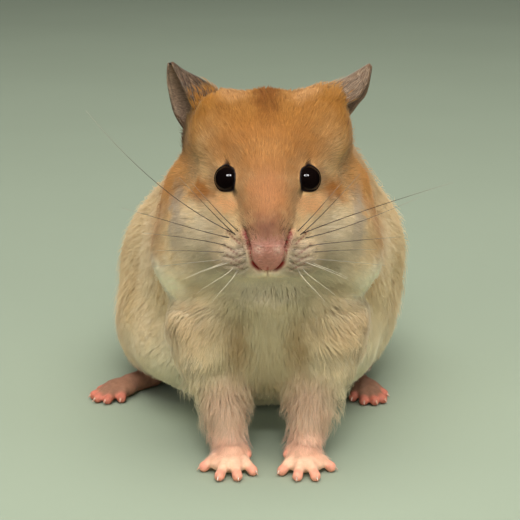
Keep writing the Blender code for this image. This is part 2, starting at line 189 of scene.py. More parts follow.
def mesh_object(name, clay):
    """Puts a bmesh into the scene as an object, and frees it."""
    mesh = bpy.data.meshes.new(name)
    clay.to_mesh(mesh)
    clay.free()
    made = bpy.data.objects.new(name, mesh)
    bpy.context.scene.collection.objects.link(made)
    return made


def settle(obj):
    """Applies an object's modifiers."""
    graph = bpy.context.evaluated_depsgraph_get()
    mesh = bpy.data.meshes.new_from_object(obj.evaluated_get(graph), depsgraph=graph)
    old = obj.data
    obj.modifiers.clear()
    obj.data = mesh
    bpy.data.meshes.remove(old)
    return obj


def melted(obj, voxel, rounds, push=0.0):
    """Fuses everything in the object's mesh into one closed surface, and smooths it."""
    if push:
        inflate = obj.modifiers.new("inflate", "DISPLACE")
        inflate.strength = push
        inflate.mid_level = 0.0
    remesh = obj.modifiers.new("melt", "REMESH")
    remesh.mode = "VOXEL"
    remesh.voxel_size = voxel
    smooth = obj.modifiers.new("smooth", "SMOOTH")
    smooth.factor = 0.5
    smooth.iterations = rounds
    return settle(obj)


def points_of(obj):
    flat = np.empty(len(obj.data.vertices) * 3)
    obj.data.vertices.foreach_get("co", flat)
    return flat.reshape(-1, 3)


def normals_of(obj):
    flat = np.empty(len(obj.data.vertices) * 3)
    obj.data.vertices.foreach_get("normal", flat)
    return flat.reshape(-1, 3)


def write_mask(mesh, name, values):
    """Writes a number on every point of a mesh, for a finish to read."""
    layer = mesh.attributes.new(name, "FLOAT", "POINT")
    layer.data.foreach_set("value", values.astype(np.float32))


def move_points(obj, points):
    obj.data.vertices.foreach_set("co", np.ascontiguousarray(points).ravel())
    obj.data.update()


def add_ball(clay, centre, radii, detail=3):
    if isinstance(radii, (int, float)):
        radii = (radii,) * 3
    place = Matrix.Translation(Vector(centre)) @ Matrix.Diagonal((*radii, 1.0))
    bmesh.ops.create_icosphere(clay, subdivisions=detail, radius=1.0, matrix=place)


def add_string(clay, *beads, detail=2):
    """Beads from (point, radius) to (point, radius), close enough to melt into a limb."""
    for (start, first), (end, last) in zip(beads, beads[1:]):
        start, end = Vector(start), Vector(end)
        count = max(2, math.ceil((end - start).length / (0.3 * min(first, last))))
        for i in range(count + 1):
            share = i / count
            add_ball(clay, start.lerp(end, share), first + (last - first) * share, detail)


def add_tube(clay, rings):
    """Joins rings of points into a tube with a cap at each end."""
    for low, high in zip(rings, rings[1:]):
        for k in range(len(low)):
            clay.faces.new((low[k], low[k - 1], high[k - 1], high[k]))
    clay.faces.new(rings[0])
    clay.faces.new(reversed(rings[-1]))


# %% Melt the body and draw it in by the coat's depth
BODY_VOXEL = 0.9
GAP_CLOSING = 0.26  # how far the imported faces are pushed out
BODY_ROUNDS, SKIN_ROUNDS = 10, 4  # of smoothing, before and after the body is drawn in
UNDER_COAT = 0.1  # the skin lies this much deeper than the coat alone asks for
EYE_SOCKET = 0.45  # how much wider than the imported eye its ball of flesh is
clay = bmesh.new()
for name in BODY_NODES:
    clay.from_mesh(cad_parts[name].data)
bmesh.ops.remove_doubles(clay, verts=clay.verts, dist=1e-6)
clay.transform(TO_NOSE)
EAR_FEET = {  # fluffy cones that carry the crown up on to each ear: (point, radius)
    -1: (((-12.0, 17.5, 66.0), 4.4), ((-11.0, 20.4, 70.2), 3.8)),
    1: (((12.8, 17.5, 65.5), 4.6), ((12.8, 20.4, 70.0), 4.3), ((13.6, 22.8, 73.4), 2.8),
        ((15.8, 24.4, 74.8), 1.7)),
}
for side in (1, -1):
    add_string(clay, *EAR_FEET[side])
    add_ball(clay, EYES[side], EYE_RADIUS + EYE_SOCKET)
skin = melted(mesh_object("skin", clay), BODY_VOXEL, BODY_ROUNDS, GAP_CLOSING)
points, normals = points_of(skin), normals_of(skin)
depth = coat_at(points)[2]
move_points(skin, points - normals * (depth + UNDER_COAT)[:, None])
melted(skin, BODY_VOXEL, SKIN_ROUNDS)
print("body under the coat:", len(skin.data.polygons), "faces")

# %% [markdown]
# ## Paws of soft clay
# A hamster's forepaw has four toes with claws and a small thumb without one, and its hind foot has
# five toes. Each toe is a string of small balls: a thick root, a knuckle, a waist and a round pad
# at the tip. A fine voxel remesh melts them together, which leaves the webs between the toes soft.

# %% Forepaws and hind feet
FOREPAW = (7.4, 8.6, 0.0)
HIND_FEET = {1: ((21.8, 53.0, 0.0), 18.0), -1: ((-32.0, 52.5, 0.0), 46.0)}
FORE_TOE_THICKNESS, HIND_TOE_THICKNESS = 1.16, 1.15
FORE_TOES = ((-42, 7.8), (-10, 9.0), (16, 9.2), (62, 7.4))  # (degrees outward, length)
HIND_TOES = ((-36, 7.6), (-16, 9.6), (0, 10.2), (15, 9.8), (36, 7.6))
TOE_BEADS = (  # root, knuckle and waist, in shares of the length, the thickness and the thickness
    (0.2, 1.9, 1.45), (0.52, 2.0, 1.1), (0.72, 1.4, 0.88))
PAD_LIFT = 0.94  # height of the pad's middle, as a share of its thickness
THUMB_TIP = (3.9, 8.4, 2.7)
PAW_VOXEL, PAW_ROUNDS = 0.31, 5
SOLE_HEIGHT = 0.02
toe_tips = []  # (paw, tip, direction, thickness, has a claw)


def mirrored(point, side):
    return Vector((point[0] * side, point[1], point[2]))


def ahead(angle, side):
    """The direction on the floor at an angle in degrees outward from straight ahead."""
    return Vector((math.sin(math.radians(angle)) * side, -math.cos(math.radians(angle)), 0))


def add_toe(clay, paw, middle, angle, length, side, thick):
    direction = ahead(angle, side)

    def along(share, lift):
        return middle + direction * share + Vector((0, 0, thick * lift))

    pad = along(length - thick, PAD_LIFT)
    beads = [(along(length * share, lift), thick * size) for share, lift, size in TOE_BEADS]
    add_string(clay, *beads, (pad, thick))
    toe_tips.append((paw, pad, direction, thick, True))


def fore_clay(clay, side):
    palm = mirrored(FOREPAW, side)
    add_ball(clay, palm + Vector((0, 0.2, 2.5)), (3.6, 4.2, 2.5))
    add_ball(clay, palm + Vector((-0.8 * side, 2.6, 1.1)), (1.3, 1.4, 1.1))
    add_ball(clay, palm + Vector((1.5 * side, 2.2, 1.1)), (1.3, 1.4, 1.1))
    add_ball(clay, palm + Vector((0.3 * side, -2.4, 1.9)), (4.3, 3.5, 1.9))
    for angle, length in FORE_TOES:
        add_toe(clay, "fore", palm, angle, length, side, FORE_TOE_THICKNESS)
    thumb = mirrored(THUMB_TIP, side)
    add_string(clay, (mirrored((5.8, 9.4, 3.4), side), 1.7), (thumb, 0.85))
    toe_tips.append(("fore", thumb, Vector((-side, 0, 0)), 0.85, False))
    wrist = (((7.6, 9.8, 3.4), 2.5), ((8.2, 12.4, 6.8), 3.0), ((9.0, 14.8, 10.5), 3.8))
    add_string(clay, *[(mirrored(place, side), thick) for place, thick in wrist])


def hind_clay(clay, side):
    middle, angle = HIND_FEET[side]
    middle, forward = Vector(middle), ahead(angle, side)
    heel = middle - forward * 7.0 + Vector((0, 0, 2.4))
    shin = middle - forward * 9.0 + Vector((0, 0, 8.5))
    add_string(clay, (shin, 5.0), (heel + Vector((0, 0, 0.8)), 3.3))
    add_string(clay, (heel, 2.4), (middle + Vector((0, 0, 2.3)), 2.4))
    add_ball(clay, middle + forward * 2.0 + Vector((0, 0, 2.0)), (3.7, 3.7, 2.1))
    for spread, length in HIND_TOES:
        add_toe(clay, "hind", middle, angle + spread, length, side, HIND_TOE_THICKNESS)


def paw(name, sculpt, side):
    clay = bmesh.new()
    sculpt(clay, side)
    made = melted(mesh_object(name, clay), PAW_VOXEL, PAW_ROUNDS)
    points = points_of(made)
    points[:, 2] = np.maximum(points[:, 2], SOLE_HEIGHT)
    move_points(made, points)
    return made


paws = [paw(f"{kind}_{side}", sculpt, side)
        for kind, sculpt in (("fore", fore_clay), ("hind", hind_clay)) for side in (1, -1)]
print("paws:", [len(p.data.polygons) for p in paws], "toes:", len(toe_tips))

# %% [markdown]
# ## Ears like furled leaves
# An awake hamster holds its ears up and half furled, and each ear turns its own way. An ear is one
# thin sheet. Four ribs run from its foot to its tip: the front edge, the fullest part of its outer
# side, its back, and the far edge. The sheet is drawn through the ribs and rolls in along both
# edges.

# %% Ears
EARS = {  # side: rows from foot to tip, each (front edge, outer side, back, far edge)
    -1: [
        ((-13.2, 20.6, 65.6), (-8.0, 25.0, 68.0), (-10.5, 31.5, 66.0), (-15.2, 28.0, 63.0)),
        ((-14.2, 20.8, 69.0), (-8.6, 25.2, 71.4), (-11.0, 31.5, 69.5), (-18.4, 28.0, 67.5)),
        ((-15.6, 21.0, 72.6), (-10.2, 25.4, 74.7), (-13.0, 31.0, 72.6), (-20.3, 27.5, 71.6)),
        ((-17.2, 21.8, 76.0), (-13.6, 25.2, 77.2), (-15.8, 29.6, 75.9), (-20.9, 27.0, 75.6)),
        ((-18.4, 23.0, 78.6), (-17.0, 25.0, 79.0), (-18.0, 27.6, 78.6), (-20.6, 26.2, 78.6)),
        ((-19.4, 24.6, 80.5), (-19.2, 25.0, 80.7), (-19.5, 25.6, 80.6), (-20.1, 25.4, 80.4)),
    ],
    1: [
        ((13.0, 21.8, 66.8), (9.4, 24.2, 71.5), (11.0, 31.5, 70.0), (15.0, 29.5, 64.8)),
        ((14.0, 21.8, 70.0), (10.2, 24.6, 74.2), (12.2, 31.5, 73.0), (16.6, 29.8, 67.8)),
        ((15.8, 22.4, 72.0), (13.0, 25.2, 75.6), (14.6, 31.3, 74.6), (18.6, 30.2, 70.2)),
        ((18.6, 24.0, 73.6), (16.6, 26.6, 77.2), (17.8, 31.2, 76.4), (20.6, 30.6, 73.0)),
        ((20.5, 26.4, 76.2), (19.3, 27.8, 78.7), (19.8, 30.2, 78.4), (21.2, 30.0, 76.4)),
        ((21.1, 28.4, 79.2), (20.9, 28.6, 79.8), (21.0, 28.9, 79.8), (21.3, 28.8, 79.3)),
    ],
}
EAR_THICKNESS = 0.42
EAR_ROLL = 0.10  # how far the edges roll in, as a share of the way to the middle
EAR_UNEVENNESS = 0.035
EAR_STEPS, EAR_TURNS = 6, 9  # points between one row or rib and the next
EAR_ROWS, EAR_COLUMNS = 5 * EAR_STEPS, 3 * EAR_TURNS  # faces of the sheet, foot to tip and round it


def rounded(curve, steps=8):
    """A smooth curve through named points (Catmull-Rom)."""
    curve = [np.array(point, float) for point in curve]
    padded = [2 * curve[0] - curve[1], *curve, 2 * curve[-1] - curve[-2]]
    out = []
    for a, b, c, d in zip(padded, padded[1:], padded[2:], padded[3:]):
        for i in range(steps):
            t = i / steps
            out.append(0.5 * (2 * b + (c - a) * t + (2 * a - 5 * b + 4 * c - d) * t * t
                              + (3 * b - a - 3 * c + d) * t ** 3))
    return out + [curve[-1]]


def ear_grid(side):
    """The ear's sheet as rows of points: [row from foot to tip][point from front to far edge]."""
    ribs = [rounded([row[k] for row in EARS[side]], EAR_STEPS) for k in range(4)]
    rows = []
    for i, corners in enumerate(zip(*ribs)):
        row = rounded(corners, EAR_TURNS)
        middle = (corners[1] + corners[2]) / 2
        for j, point in enumerate(row):
            turn = abs(2 * j / (len(row) - 1) - 1)
            point += (middle - point) * EAR_ROLL * max(0, turn - 0.86) / 0.14
            chance = noise.noise(Vector((j * 0.21, i * 0.16, side * 5.0)))
            point += (point - middle) * EAR_UNEVENNESS * chance
        rows.append(row)
    return rows


def ear(side):
    clay = bmesh.new()
    rows = [[clay.verts.new(point) for point in row] for row in ear_grid(side)]
    for low, high in zip(rows, rows[1:]):
        for corners in zip(low, low[1:], high[1:], high):
            clay.faces.new(corners)
    made = mesh_object(f"ear_{side}", clay)
    thick = made.modifiers.new("thick", "SOLIDIFY")
    thick.thickness = EAR_THICKNESS
    thick.offset = 0.0
    settle(made)
    return made


ears = [ear(side) for side in (1, -1)]
print("ears:", [len(e.data.polygons) for e in ears])

# %% [markdown]
# ## One skin
# Boolean unions join the paws and ears to the body, so the skin is one closed surface with no seam.
# The points near where the paws join are then relaxed, as skin has no corner there.

# %% Join paws and ears to the body
def joined(body, others):
    for other in others:
        union = body.modifiers.new("union", "BOOLEAN")
        union.operation = "UNION"
        union.solver = "EXACT"
        union.object = other
        settle(body)
        bpy.data.objects.remove(other)
    return body


JOINS = [((8.2, 12.5, 8.0), 5.2), ((27.0, 62.0, 8.0), 6.5)]  # (place, reach) for both sides
JOIN_ROUNDS = 16
joined(skin, paws + ears)
shape = bmesh.new()
shape.from_mesh(skin.data)
bmesh.ops.remove_doubles(shape, verts=shape.verts, dist=0.004)
near = [v for v in shape.verts
        if any((Vector((abs(v.co.x), v.co.y, v.co.z)) - Vector(place)).length < reach
               for place, reach in JOINS)]
for _ in range(JOIN_ROUNDS):
    bmesh.ops.smooth_vert(shape, verts=near, factor=0.5,
                          use_axis_x=True, use_axis_y=True, use_axis_z=True)
shape.to_mesh(skin.data)
shape.free()
print("skin:", len(skin.data.polygons), "faces;", len(near), "points relaxed")

# %% [markdown]
# ## Finer skin where the face is modelled
# Subdividing only the faces near the eyes, nose and mouth gives the points that creases and lids
# need, and keeps the rest light.

# %% Subdivide the face
FINE = [  # rounds of subdivision: (middle, radii) for both sides of the face
    [((0, 7.0, 50.0), (17.0, 15.0, 19.0))],
    [((0, 2.5, 47.0), (9.5, 8.0, 8.5)), ((7.7, 10.3, 60.2), (5.4, 5.4, 5.4))],
    [((0, 1.0, 47.5), (5.6, 5.0, 5.6))],
]


def refine(obj, areas):
    shape = bmesh.new()
    shape.from_mesh(obj.data)
    shape.edges.ensure_lookup_table()
    middles = np.array([(e.verts[0].co + e.verts[1].co) / 2 for e in shape.edges])
    chosen = np.zeros(len(middles), bool)
    for middle, radii in areas:
        chosen |= ellipsoid(fold(middles), middle, radii) < 1
    edges = [e for e, pick in zip(shape.edges, chosen) if pick]
    bmesh.ops.subdivide_edges(shape, edges=edges, cuts=1, use_grid_fill=True, smooth=0.0)
    bmesh.ops.triangulate(shape, faces=[f for f in shape.faces if len(f.verts) > 4])
    shape.to_mesh(obj.data)
    shape.free()


for areas in FINE:
    refine(skin, areas)
    print("skin now has", len(skin.data.vertices), "points")

# %% [markdown]
# ## Modelling the nose and muzzle
# The nose pad is a soft pink shield with a dark crease round it in the shape of a U, and a nostril
# at each end of the crease. Under it are the cleft lip, the mouth and the whisker pads. Each is a
# small move of the skin's points: a crease pushes in along a named curve, a bulge pushes out.

# %% Creases and bulges
def smooth_step(value):
    value = np.clip(value, 0, 1)
    return value * value * (3 - 2 * value)


def curve_distance(points, curve):
    """Distance from each point to a curve through named points, measured in x and z."""
    curve = np.array(curve, float)
    best = np.full(len(points), 99.0)
    flat = points[:, [0, 2]]
    for start, end in zip(curve, curve[1:]):
        run = end - start
        share = np.clip(((flat - start) @ run) / (run @ run), 0, 1)
        best = np.minimum(best, np.linalg.norm(flat - start - share[:, None] * run, axis=1))
    return best


# Curves are (x outward, z up) on the front of the face, and hold for both sides.
NOSE_CREASE = rounded([(3.75, 48.9), (3.55, 47.8), (3.15, 45.7), (2.4, 44.2), (1.2, 43.2),
                       (0, 42.95)])
NOSTRIL = rounded([(4.6, 51.5), (4.45, 50.9), (4.2, 50.3)])
LIP_CLEFT = [(0, 44.2), (0, 41.8)]
MOUTH = rounded([(0, 41.0), (1.8, 40.5), (3.6, 40.4), (5.4, 40.8), (7.0, 41.6)])
PAD_FOLDS = [rounded([(3.9, 44.0), (5.6, 43.0), (7.6, 43.0)]),
             rounded([(4.4, 45.4), (6.0, 44.5), (8.2, 44.5)]),
             rounded([(4.7, 46.8), (6.4, 46.1), (8.6, 46.3)]),
             rounded([(5.0, 48.2), (6.8, 47.8), (8.6, 48.2)]),
             rounded([(5.6, 49.6), (7.0, 49.5), (8.2, 50.0)])]
EYE_LINE = rounded([(4.9, 51.8), (5.6, 54.0), (5.7, 56.4), (5.4, 58.2)])

points, normals = points_of(skin), normals_of(skin)
folded = fold(points)
front = smooth_step((9.0 - folded[:, 1]) / 3.0) * smooth_step((-normals[:, 1] + 0.35) / 0.4)


def crease(curve, depth, width):
    away = curve_distance(folded, curve)
    return depth * np.exp(-((away / width) ** 2)) * front


def bulge(middle, radii, height):
    return height * np.exp(-1.6 * ellipsoid(folded, middle, radii))


crease_line = np.array(NOSE_CREASE)[::-1]
pad_edge = np.interp(folded[:, 2], crease_line[:, 1], crease_line[:, 0])
pad_height = smooth_step((folded[:, 2] - 42.9) / 0.8) * smooth_step((52.2 - folded[:, 2]) / 3.4)
nose_pad = smooth_step((pad_edge - folded[:, 0]) / 0.7) * pad_height * front
snout_bare = smooth_step((3.8 - folded[:, 0]) / 1.6) * smooth_step((52.6 - folded[:, 2]) / 2.6)
snout_bare *= (folded[:, 2] > 46) * front
u_crease = crease(NOSE_CREASE, 1.0, 0.31)
u_foot = (crease(NOSE_CREASE, 1.0, 0.46) * smooth_step((46.2 - folded[:, 2]) / 1.6)
          * smooth_step((folded[:, 0] - 0.7) / 1.2))
nostril = np.maximum(crease(NOSTRIL, 1.0, 0.46), crease([(3.9, 49.6), (3.6, 48.4)], 1.0, 0.42))
cleft = crease(LIP_CLEFT, 1.0, 0.18)


def mouth_line(folded, normals):
    """The mouth runs along the underside of the muzzle."""
    under = smooth_step((-0.3 - normals[:, 2]) / 0.2) * smooth_step((10.0 - folded[:, 1]) / 3.0)
    return np.exp(-((curve_distance(folded, MOUTH) / 0.3) ** 2)) * under


mouth = mouth_line(folded, normals)
push = (
    0.22 * nose_pad - 0.38 * u_crease - 0.3 * u_foot - 0.6 * nostril - 0.18 * cleft - 0.5 * mouth
    + bulge((6.4, 4.6, 46.2), (3.4, 5.0, 3.8), 0.35)
    + bulge((2.2, 5.0, 41.7), (2.6, 4.0, 1.3), 0.15)
    - bulge((5.2, 6.5, 55.2), (1.5, 3.5, 3.5), 0.3)
    - crease(EYE_LINE, 0.18, 0.7)
)
for pad_fold in PAD_FOLDS:
    push -= crease(pad_fold, 0.26, 0.26)
stipple = np.array([noise.noise(Vector(place) * 2.6) for place in points.tolist()])
push += 0.12 * stipple * nose_pad
points += normals * push[:, None]
move_points(skin, points)
print("deepest crease:", round(-push.min(), 2), "mm")

# %% [markdown]
# ## Folds and hollows of the soft body
# The cheeks hang over the breast in one long fold, and the ruff lies over the shoulders in a second
# one, with a soft lobe above it on each side. A third fold runs down the inside of each arm, and
# the neck, the flanks and one knee are drawn in a little. The coat follows the skin, so a fold made
# here shows through it as a band of shade.

# %% Folds and hollows
FOLDS = [  # (curve as x outward and z up, depth, half width)
    ([(0, 38.0), (6, 38.2), (11.4, 38.8), (15.6, 40.3), (18.6, 43.4), (19.4, 45.6)], 0.7, 1.8),
    ([(6.5, 32.6), (11, 33.0), (16.5, 33.2), (20.5, 34.2), (23, 36.6)], 0.8, 1.8),
    ([(3.6, 27.5), (5.6, 23.5), (7.0, 19.5)], 0.9, 1.3),
]
SOFT_FORMS = [  # (sides, middle, radii, height)
    ((1, -1), (20.0, 20.0, 37.5), (4.8, 9.0, 3.2), 0.9),
    ((1, -1), (24.0, 38.0, 59.5), (8.0, 13.0, 9.0), -2.9),
    ((1, -1), (19.0, 26.0, 62.0), (4.0, 6.0, 8.0), 1.6),
    ((1,), (9.5, 20.0, 77.0), (2.6, 14.0, 5.0), 0.7),
    ((1, -1), (4.8, 20.0, 77.0), (1.8, 12.0, 5.0), -0.5),
    ((1,), (0.5, 20.0, 77.0), (2.2, 12.0, 5.0), 0.6),
    ((1,), (28.5, 45.0, 13.0), (9.0, 17.0, 11.0), -2.4),
    ((1, -1), (30.0, 60.0, 48.0), (9.0, 24.0, 8.0), -1.9),
]
points, normals = points_of(skin), normals_of(skin)
folded = fold(points)
facing = smooth_step((0.5 - normals[:, 1]) / 0.6) * smooth_step((30 - folded[:, 1]) / 6)
above_feet = smooth_step((points[:, 2] - 6) / 4)
push = np.zeros(len(points))
for curve, depth, width in FOLDS:
    push -= depth * np.exp(-((curve_distance(folded, rounded(curve)) / width) ** 2)) * facing
for sides, middle, radii, height in SOFT_FORMS:
    for side in sides:
        swollen = np.exp(-ellipsoid(points, (middle[0] * side, *middle[1:]), radii))
        push += height * swollen * above_feet
move_points(skin, points + normals * push[:, None])
print("folds and hollows:", len(FOLDS), "and", len(SOFT_FORMS))

# %% [markdown]
# ## Eyelids round a bright bead
# A hamster's eye is a big black ball that stands well out. Its lids are thin dark rims that meet in
# a point at the top and lie almost flat below. The lids are made from the skin itself: inside the
# opening the skin sinks behind the ball, and outside it the skin is drawn over the ball.

# %% Lids
EYE_BALL = 2.78
LID_THICKNESS = 0.18
LID_REACH, LID_TURN = 3.2, 125  # the skin moved by the lids: millimetres off the ball, and degrees
LID_SLOPE = 26  # degrees over which the lid runs out into the cheek
LID_SINK = 0.75  # how far the skin inside the opening lies under the ball
EYE_SHIFT = (-0.1, -0.1, -0.3)  # where the ball sits in its plain solid: outward, back, up
EYE_LOOK = Vector((0.56, -0.80, 0.22)).normalized()
eye_centre = {side: np.array(EYES[side]) + (EYE_SHIFT[0] * side, *EYE_SHIFT[1:])
              for side in (1, -1)}


def near_opening(points, side, clear, rims):
    """Which points lie over an eye's opening and so many rims, within a clearance of the ball."""
    distance, off, turn = eye_angles(points, side)
    reach = swollen_ring(OPENING, turn) + rims * swollen_ring(RIM, turn)
    return (distance < EYE_BALL + clear) & (off < reach)


def eye_angles(points, side):
    """For points round an eye: distance from its middle, angle off its look, and where round it."""
    look = np.array((EYE_LOOK.x * side, EYE_LOOK.y, EYE_LOOK.z))
    inward = np.cross((0, 0, 1), look) * -side  # toward the nose
    inward /= np.linalg.norm(inward)
    up = np.cross(look, inward) * side
    up *= np.sign(up[2])
    from_eye = points - eye_centre[side]
    distance = np.linalg.norm(from_eye, axis=1)
    way = from_eye / np.maximum(distance, 1e-6)[:, None]
    off = np.degrees(np.arccos(np.clip(way @ look, -1, 1)))
    turn = np.arctan2(way @ up, way @ inward)  # 0 toward the nose, 90 degrees at the top
    return distance, off, turn


def swell(turn, at, reach):
    """1 at an angle round the eye, in degrees, fading to 0 over a reach."""
    return np.exp(-((np.angle(np.exp(1j * (turn - math.radians(at)))) / math.radians(reach)) ** 2))


# How far the eye's opening and the dark rim round it reach, in degrees: a plain part, and swells
# of (amount, angle round the eye, spread). The point at the top stands at about 97 degrees.
OPENING = (64, ((8, 98, 18), (3, 55, 16), (-8, 135, 22), (-3, -92, 20), (9, -45, 15),
                (6, -135, 22), (-4, 5, 30)))
RIM = (3.2, ((15, 98, 15), (3, -45, 16), (2, -135, 22)))


def swollen_ring(shape, turn):
    """How far a ring round the eye reaches, in degrees, at each angle round it."""
    plain, swells = shape
    return sum((amount * swell(turn, at, reach) for amount, at, reach in swells), plain)


points = points_of(skin)
lid = np.zeros(len(points))
for side in (1, -1):
    distance, off, turn = eye_angles(points, side)
    near_eye = (distance < EYE_BALL + LID_REACH) & (off < LID_TURN)
    edge = swollen_ring(OPENING, turn)
    outside = smooth_step((off - edge - 3) / LID_SLOPE)
    margin = EYE_BALL + LID_THICKNESS
    target = margin + (np.maximum(distance, margin) - margin) * outside
    target = np.where(off < edge - 3.5, EYE_BALL - LID_SINK, target)
    scale = target / np.maximum(distance, 1e-6)
    moved = eye_centre[side] + (points - eye_centre[side]) * scale[:, None]
    points = np.where(near_eye[:, None], moved, points)
    dark = np.exp(-((np.maximum(off - edge, 0) / swollen_ring(RIM, turn)) ** 2))
    lid = np.maximum(lid, np.where(near_eye, dark, 0))
move_points(skin, points)
skin_folded = fold(points)
print("points on the lids:", int((lid > 0.5).sum()))

# %% [markdown]
# ## Where hair grows
# Hair grows from the whole skin except the nose pad, the eyes, the soles and the toe tips. The
# ears carry only fine down. Roots are spread evenly: each face gets its share of tufts from the
# guides, and the running total of those shares is read off at equal steps.

# %% Spread the roots
def unit(vectors):
    return vectors / np.maximum(np.linalg.norm(vectors, axis=1), 1e-9)[:, None]


PAD_FOOT, PAD_TOP = 42.8, 49.6  # the heights between which the nose pad is bare
EAR_LINE = 65.5  # an ear is told from the crown above this height
EAR_DOWN = {"length": 1.7, "depth": 0.13, "width": 0.1, "density": 24}
EAR_FOOT = {"length": 2.6, "depth": 0.5, "width": 0.14}
GOLD_REACH = 0.6  # the gold covers this much of the way round the ear from its front edge
GOLD_SHARE = {-1: 0.3, 1: 0.25}  # the outside of each ear wears the gold of the crown up to here
QUICK_SHARE = 1.0

skin.data.calc_loop_triangles()
corners = np.empty(len(skin.data.loop_triangles) * 3, int)
skin.data.loop_triangles.foreach_get("vertices", corners)
corners = corners.reshape(-1, 3)
skin_points, skin_normals = points_of(skin), normals_of(skin)
tree = BVHTree.FromPolygons(skin_points.tolist(), corners.tolist())


def ear_lie(side):
    """For each face of an ear's sheet: middle, outward side, way to the tip and way across."""
    grid = np.array(ear_grid(side))
    middle = (grid[:-1, :-1] + grid[1:, 1:]) / 2
    to_tip, across_it = grid[1:, :-1] - grid[:-1, :-1], grid[:-1, 1:] - grid[:-1, :-1]
    outward = middle - grid[:-1].mean(1)[:, None]
    return [part.reshape(-1, 3) for part in (middle, outward, to_tip, across_it)]


def ear_place(points, side):
    """Which points lie on an ear, and the face of the ear's sheet nearest to each."""
    near = np.full(len(points), -1)
    middle = ear_lie(side)[0]
    may_be = (points[:, 0] * side > 6) & (points[:, 2] > EAR_LINE) & (points[:, 1] > 18)
    for i in np.flatnonzero(may_be):
        away = ((middle - points[i]) ** 2).sum(1)
        best = np.argmin(away)
        if away[best] < 0.5:
            near[i] = best
    return near


def on_ear_outside(points, normals, side):
    """Which points lie on an ear, how far along, which on its outside, which toward its front."""
    near = ear_place(points, side)
    outward = ear_lie(side)[1][near]
    front_side = near % EAR_COLUMNS < GOLD_REACH * EAR_COLUMNS
    return near >= 0, near // EAR_COLUMNS / EAR_ROWS, (normals * outward).sum(1) > 0, front_side


def on_hind_foot(points):
    """1 on the bare hind feet and 0 away from them."""
    found = np.zeros(len(points), bool)
    for side, (middle, angle) in HIND_FEET.items():
        forward = np.array(ahead(angle, side))
        away = points - middle
        along = away @ forward
        across = np.linalg.norm(away[:, :2] - along[:, None] * forward[:2], axis=1)
        found |= (along > -6.5) & (across < 6.5) & (points[:, 2] < 6.5)
    return found


DOT_ROWS = [  # rows of whisker roots, as (x outward, z up), outer end first
    ((7.8, 50.7), (5.5, 49.1)), ((8.2, 48.5), (5.4, 46.7)), ((7.8, 46.7), (4.9, 45.1)),
    ((7.0, 45.1), (4.4, 43.6)),
]
DOTS_IN_ROW = 6


def whisker_dots(points):
    """1 at the dark spots where whiskers grow, and 0 between them."""
    found = np.zeros(len(points))
    for outer, inner in DOT_ROWS:
        for i in range(DOTS_IN_ROW):
            x, z = np.array(outer) + (np.array(inner) - outer) * i / (DOTS_IN_ROW - 1)
            away = np.hypot(np.abs(points[:, 0]) - x, points[:, 2] - z)
            found = np.maximum(found, np.exp(-((away / 0.3) ** 2)) * (points[:, 1] < 9))
    return found


def flecked(points):
    """How strongly dark red flecks show beside and above the nostrils."""
    return np.exp(-ellipsoid(fold(points), (3.8, 3, 49.8), (1.7, 6, 2.6)))


def hair_cover(points, normals):
    """1 where hair grows and 0 on bare skin."""
    folded = fold(points)
    outward, back, height = folded.T
    cover = np.ones(len(points))
    # the nose pad, the nostrils, the creases and the mouth
    edge = np.interp(height, crease_line[:, 1], crease_line[:, 0])
    cover[(outward < edge + 0.25) & (height > PAD_FOOT) & (height < PAD_TOP) & (back < 7)] = 0
    for curve in (NOSTRIL, NOSE_CREASE):
        cover[(curve_distance(folded, curve) < 0.5) & (back < 8)] = 0
    cover[mouth_line(folded, normals) > 0.4] = 0
    # the eyes with most of their rims, the toe tips, the soles and the hind feet
    for side in (1, -1):
        cover[near_opening(points, side, 1.2, 0.85)] = 0
    for _, tip, _, thick, _ in toe_tips:
        cover[np.linalg.norm(points - np.array(tip), axis=1) < thick * 1.9] = 0
    cover[(height < 3.2) & (normals[:, 2] < -0.2)] = 0
    cover[on_hind_foot(points)] *= 0.2
    # the roots of the whiskers, the flecks beside the nostrils and the thin hair over the pad
    cover[whisker_dots(points) > 0.3] = 0
    cover *= 1 - 0.6 * flecked(points)
    thin = 0.25 + 0.75 * smooth_step((height - PAD_TOP) / 3.0)
    cover *= np.where((outward < 4) & (back < 7), thin, 1)
    return cover


centres = skin_points[corners].mean(1)
edge_a, edge_b = (skin_points[corners[:, i]] - skin_points[corners[:, 0]] for i in (1, 2))
cross = np.cross(edge_a, edge_b)
face_area = np.linalg.norm(cross, axis=1) / 2
face_normal = cross / np.maximum(face_area * 2, 1e-9)[:, None]
density = coat_at(centres)[4] * hair_cover(centres, face_normal)
for side in (1, -1):
    density[ear_place(centres, side) >= 0] = EAR_DOWN["density"]
wanted = np.cumsum(face_area * density * QUICK_SHARE)
count = int(wanted[-1])
marks = (np.arange(count) + rng.random(count)) / count * wanted[-1]
face = np.minimum(np.searchsorted(wanted, marks), len(corners) - 1)
a, b = rng.random(count), rng.random(count)
flip = a + b > 1
a[flip], b[flip] = 1 - a[flip], 1 - b[flip]
weights = np.column_stack((1 - a - b, a, b))
root = (skin_points[corners[face]] * weights[:, :, None]).sum(1)
up = (skin_normals[corners[face]] * weights[:, :, None]).sum(1)
up = unit(up)
print("skin area:", round(face_area.sum()), "mm2; tufts:", count)

# %% [markdown]
# ## How each tuft lies
# A tuft leaves the skin steeply, bends over and lies along the body, and its tip stays at the
# coat's depth above the skin that it has reached. Slow waves turn neighbouring tufts together, a
# little chance sets each apart, and on the long coat the tips gather into locks.

# %% Lay the tufts
def waves(points, size, seed):
    """Slow swells from -1 to 1 over the body, the same for neighbours."""
    chance = np.random.default_rng(seed)
    total = np.zeros(len(points))
    for _ in range(7):
        way = unit(chance.normal(size=(1, 3)))[0]
        total += np.sin(points @ way / size * chance.uniform(3, 6) + chance.uniform(0, 6.3))
    return total / 3.5


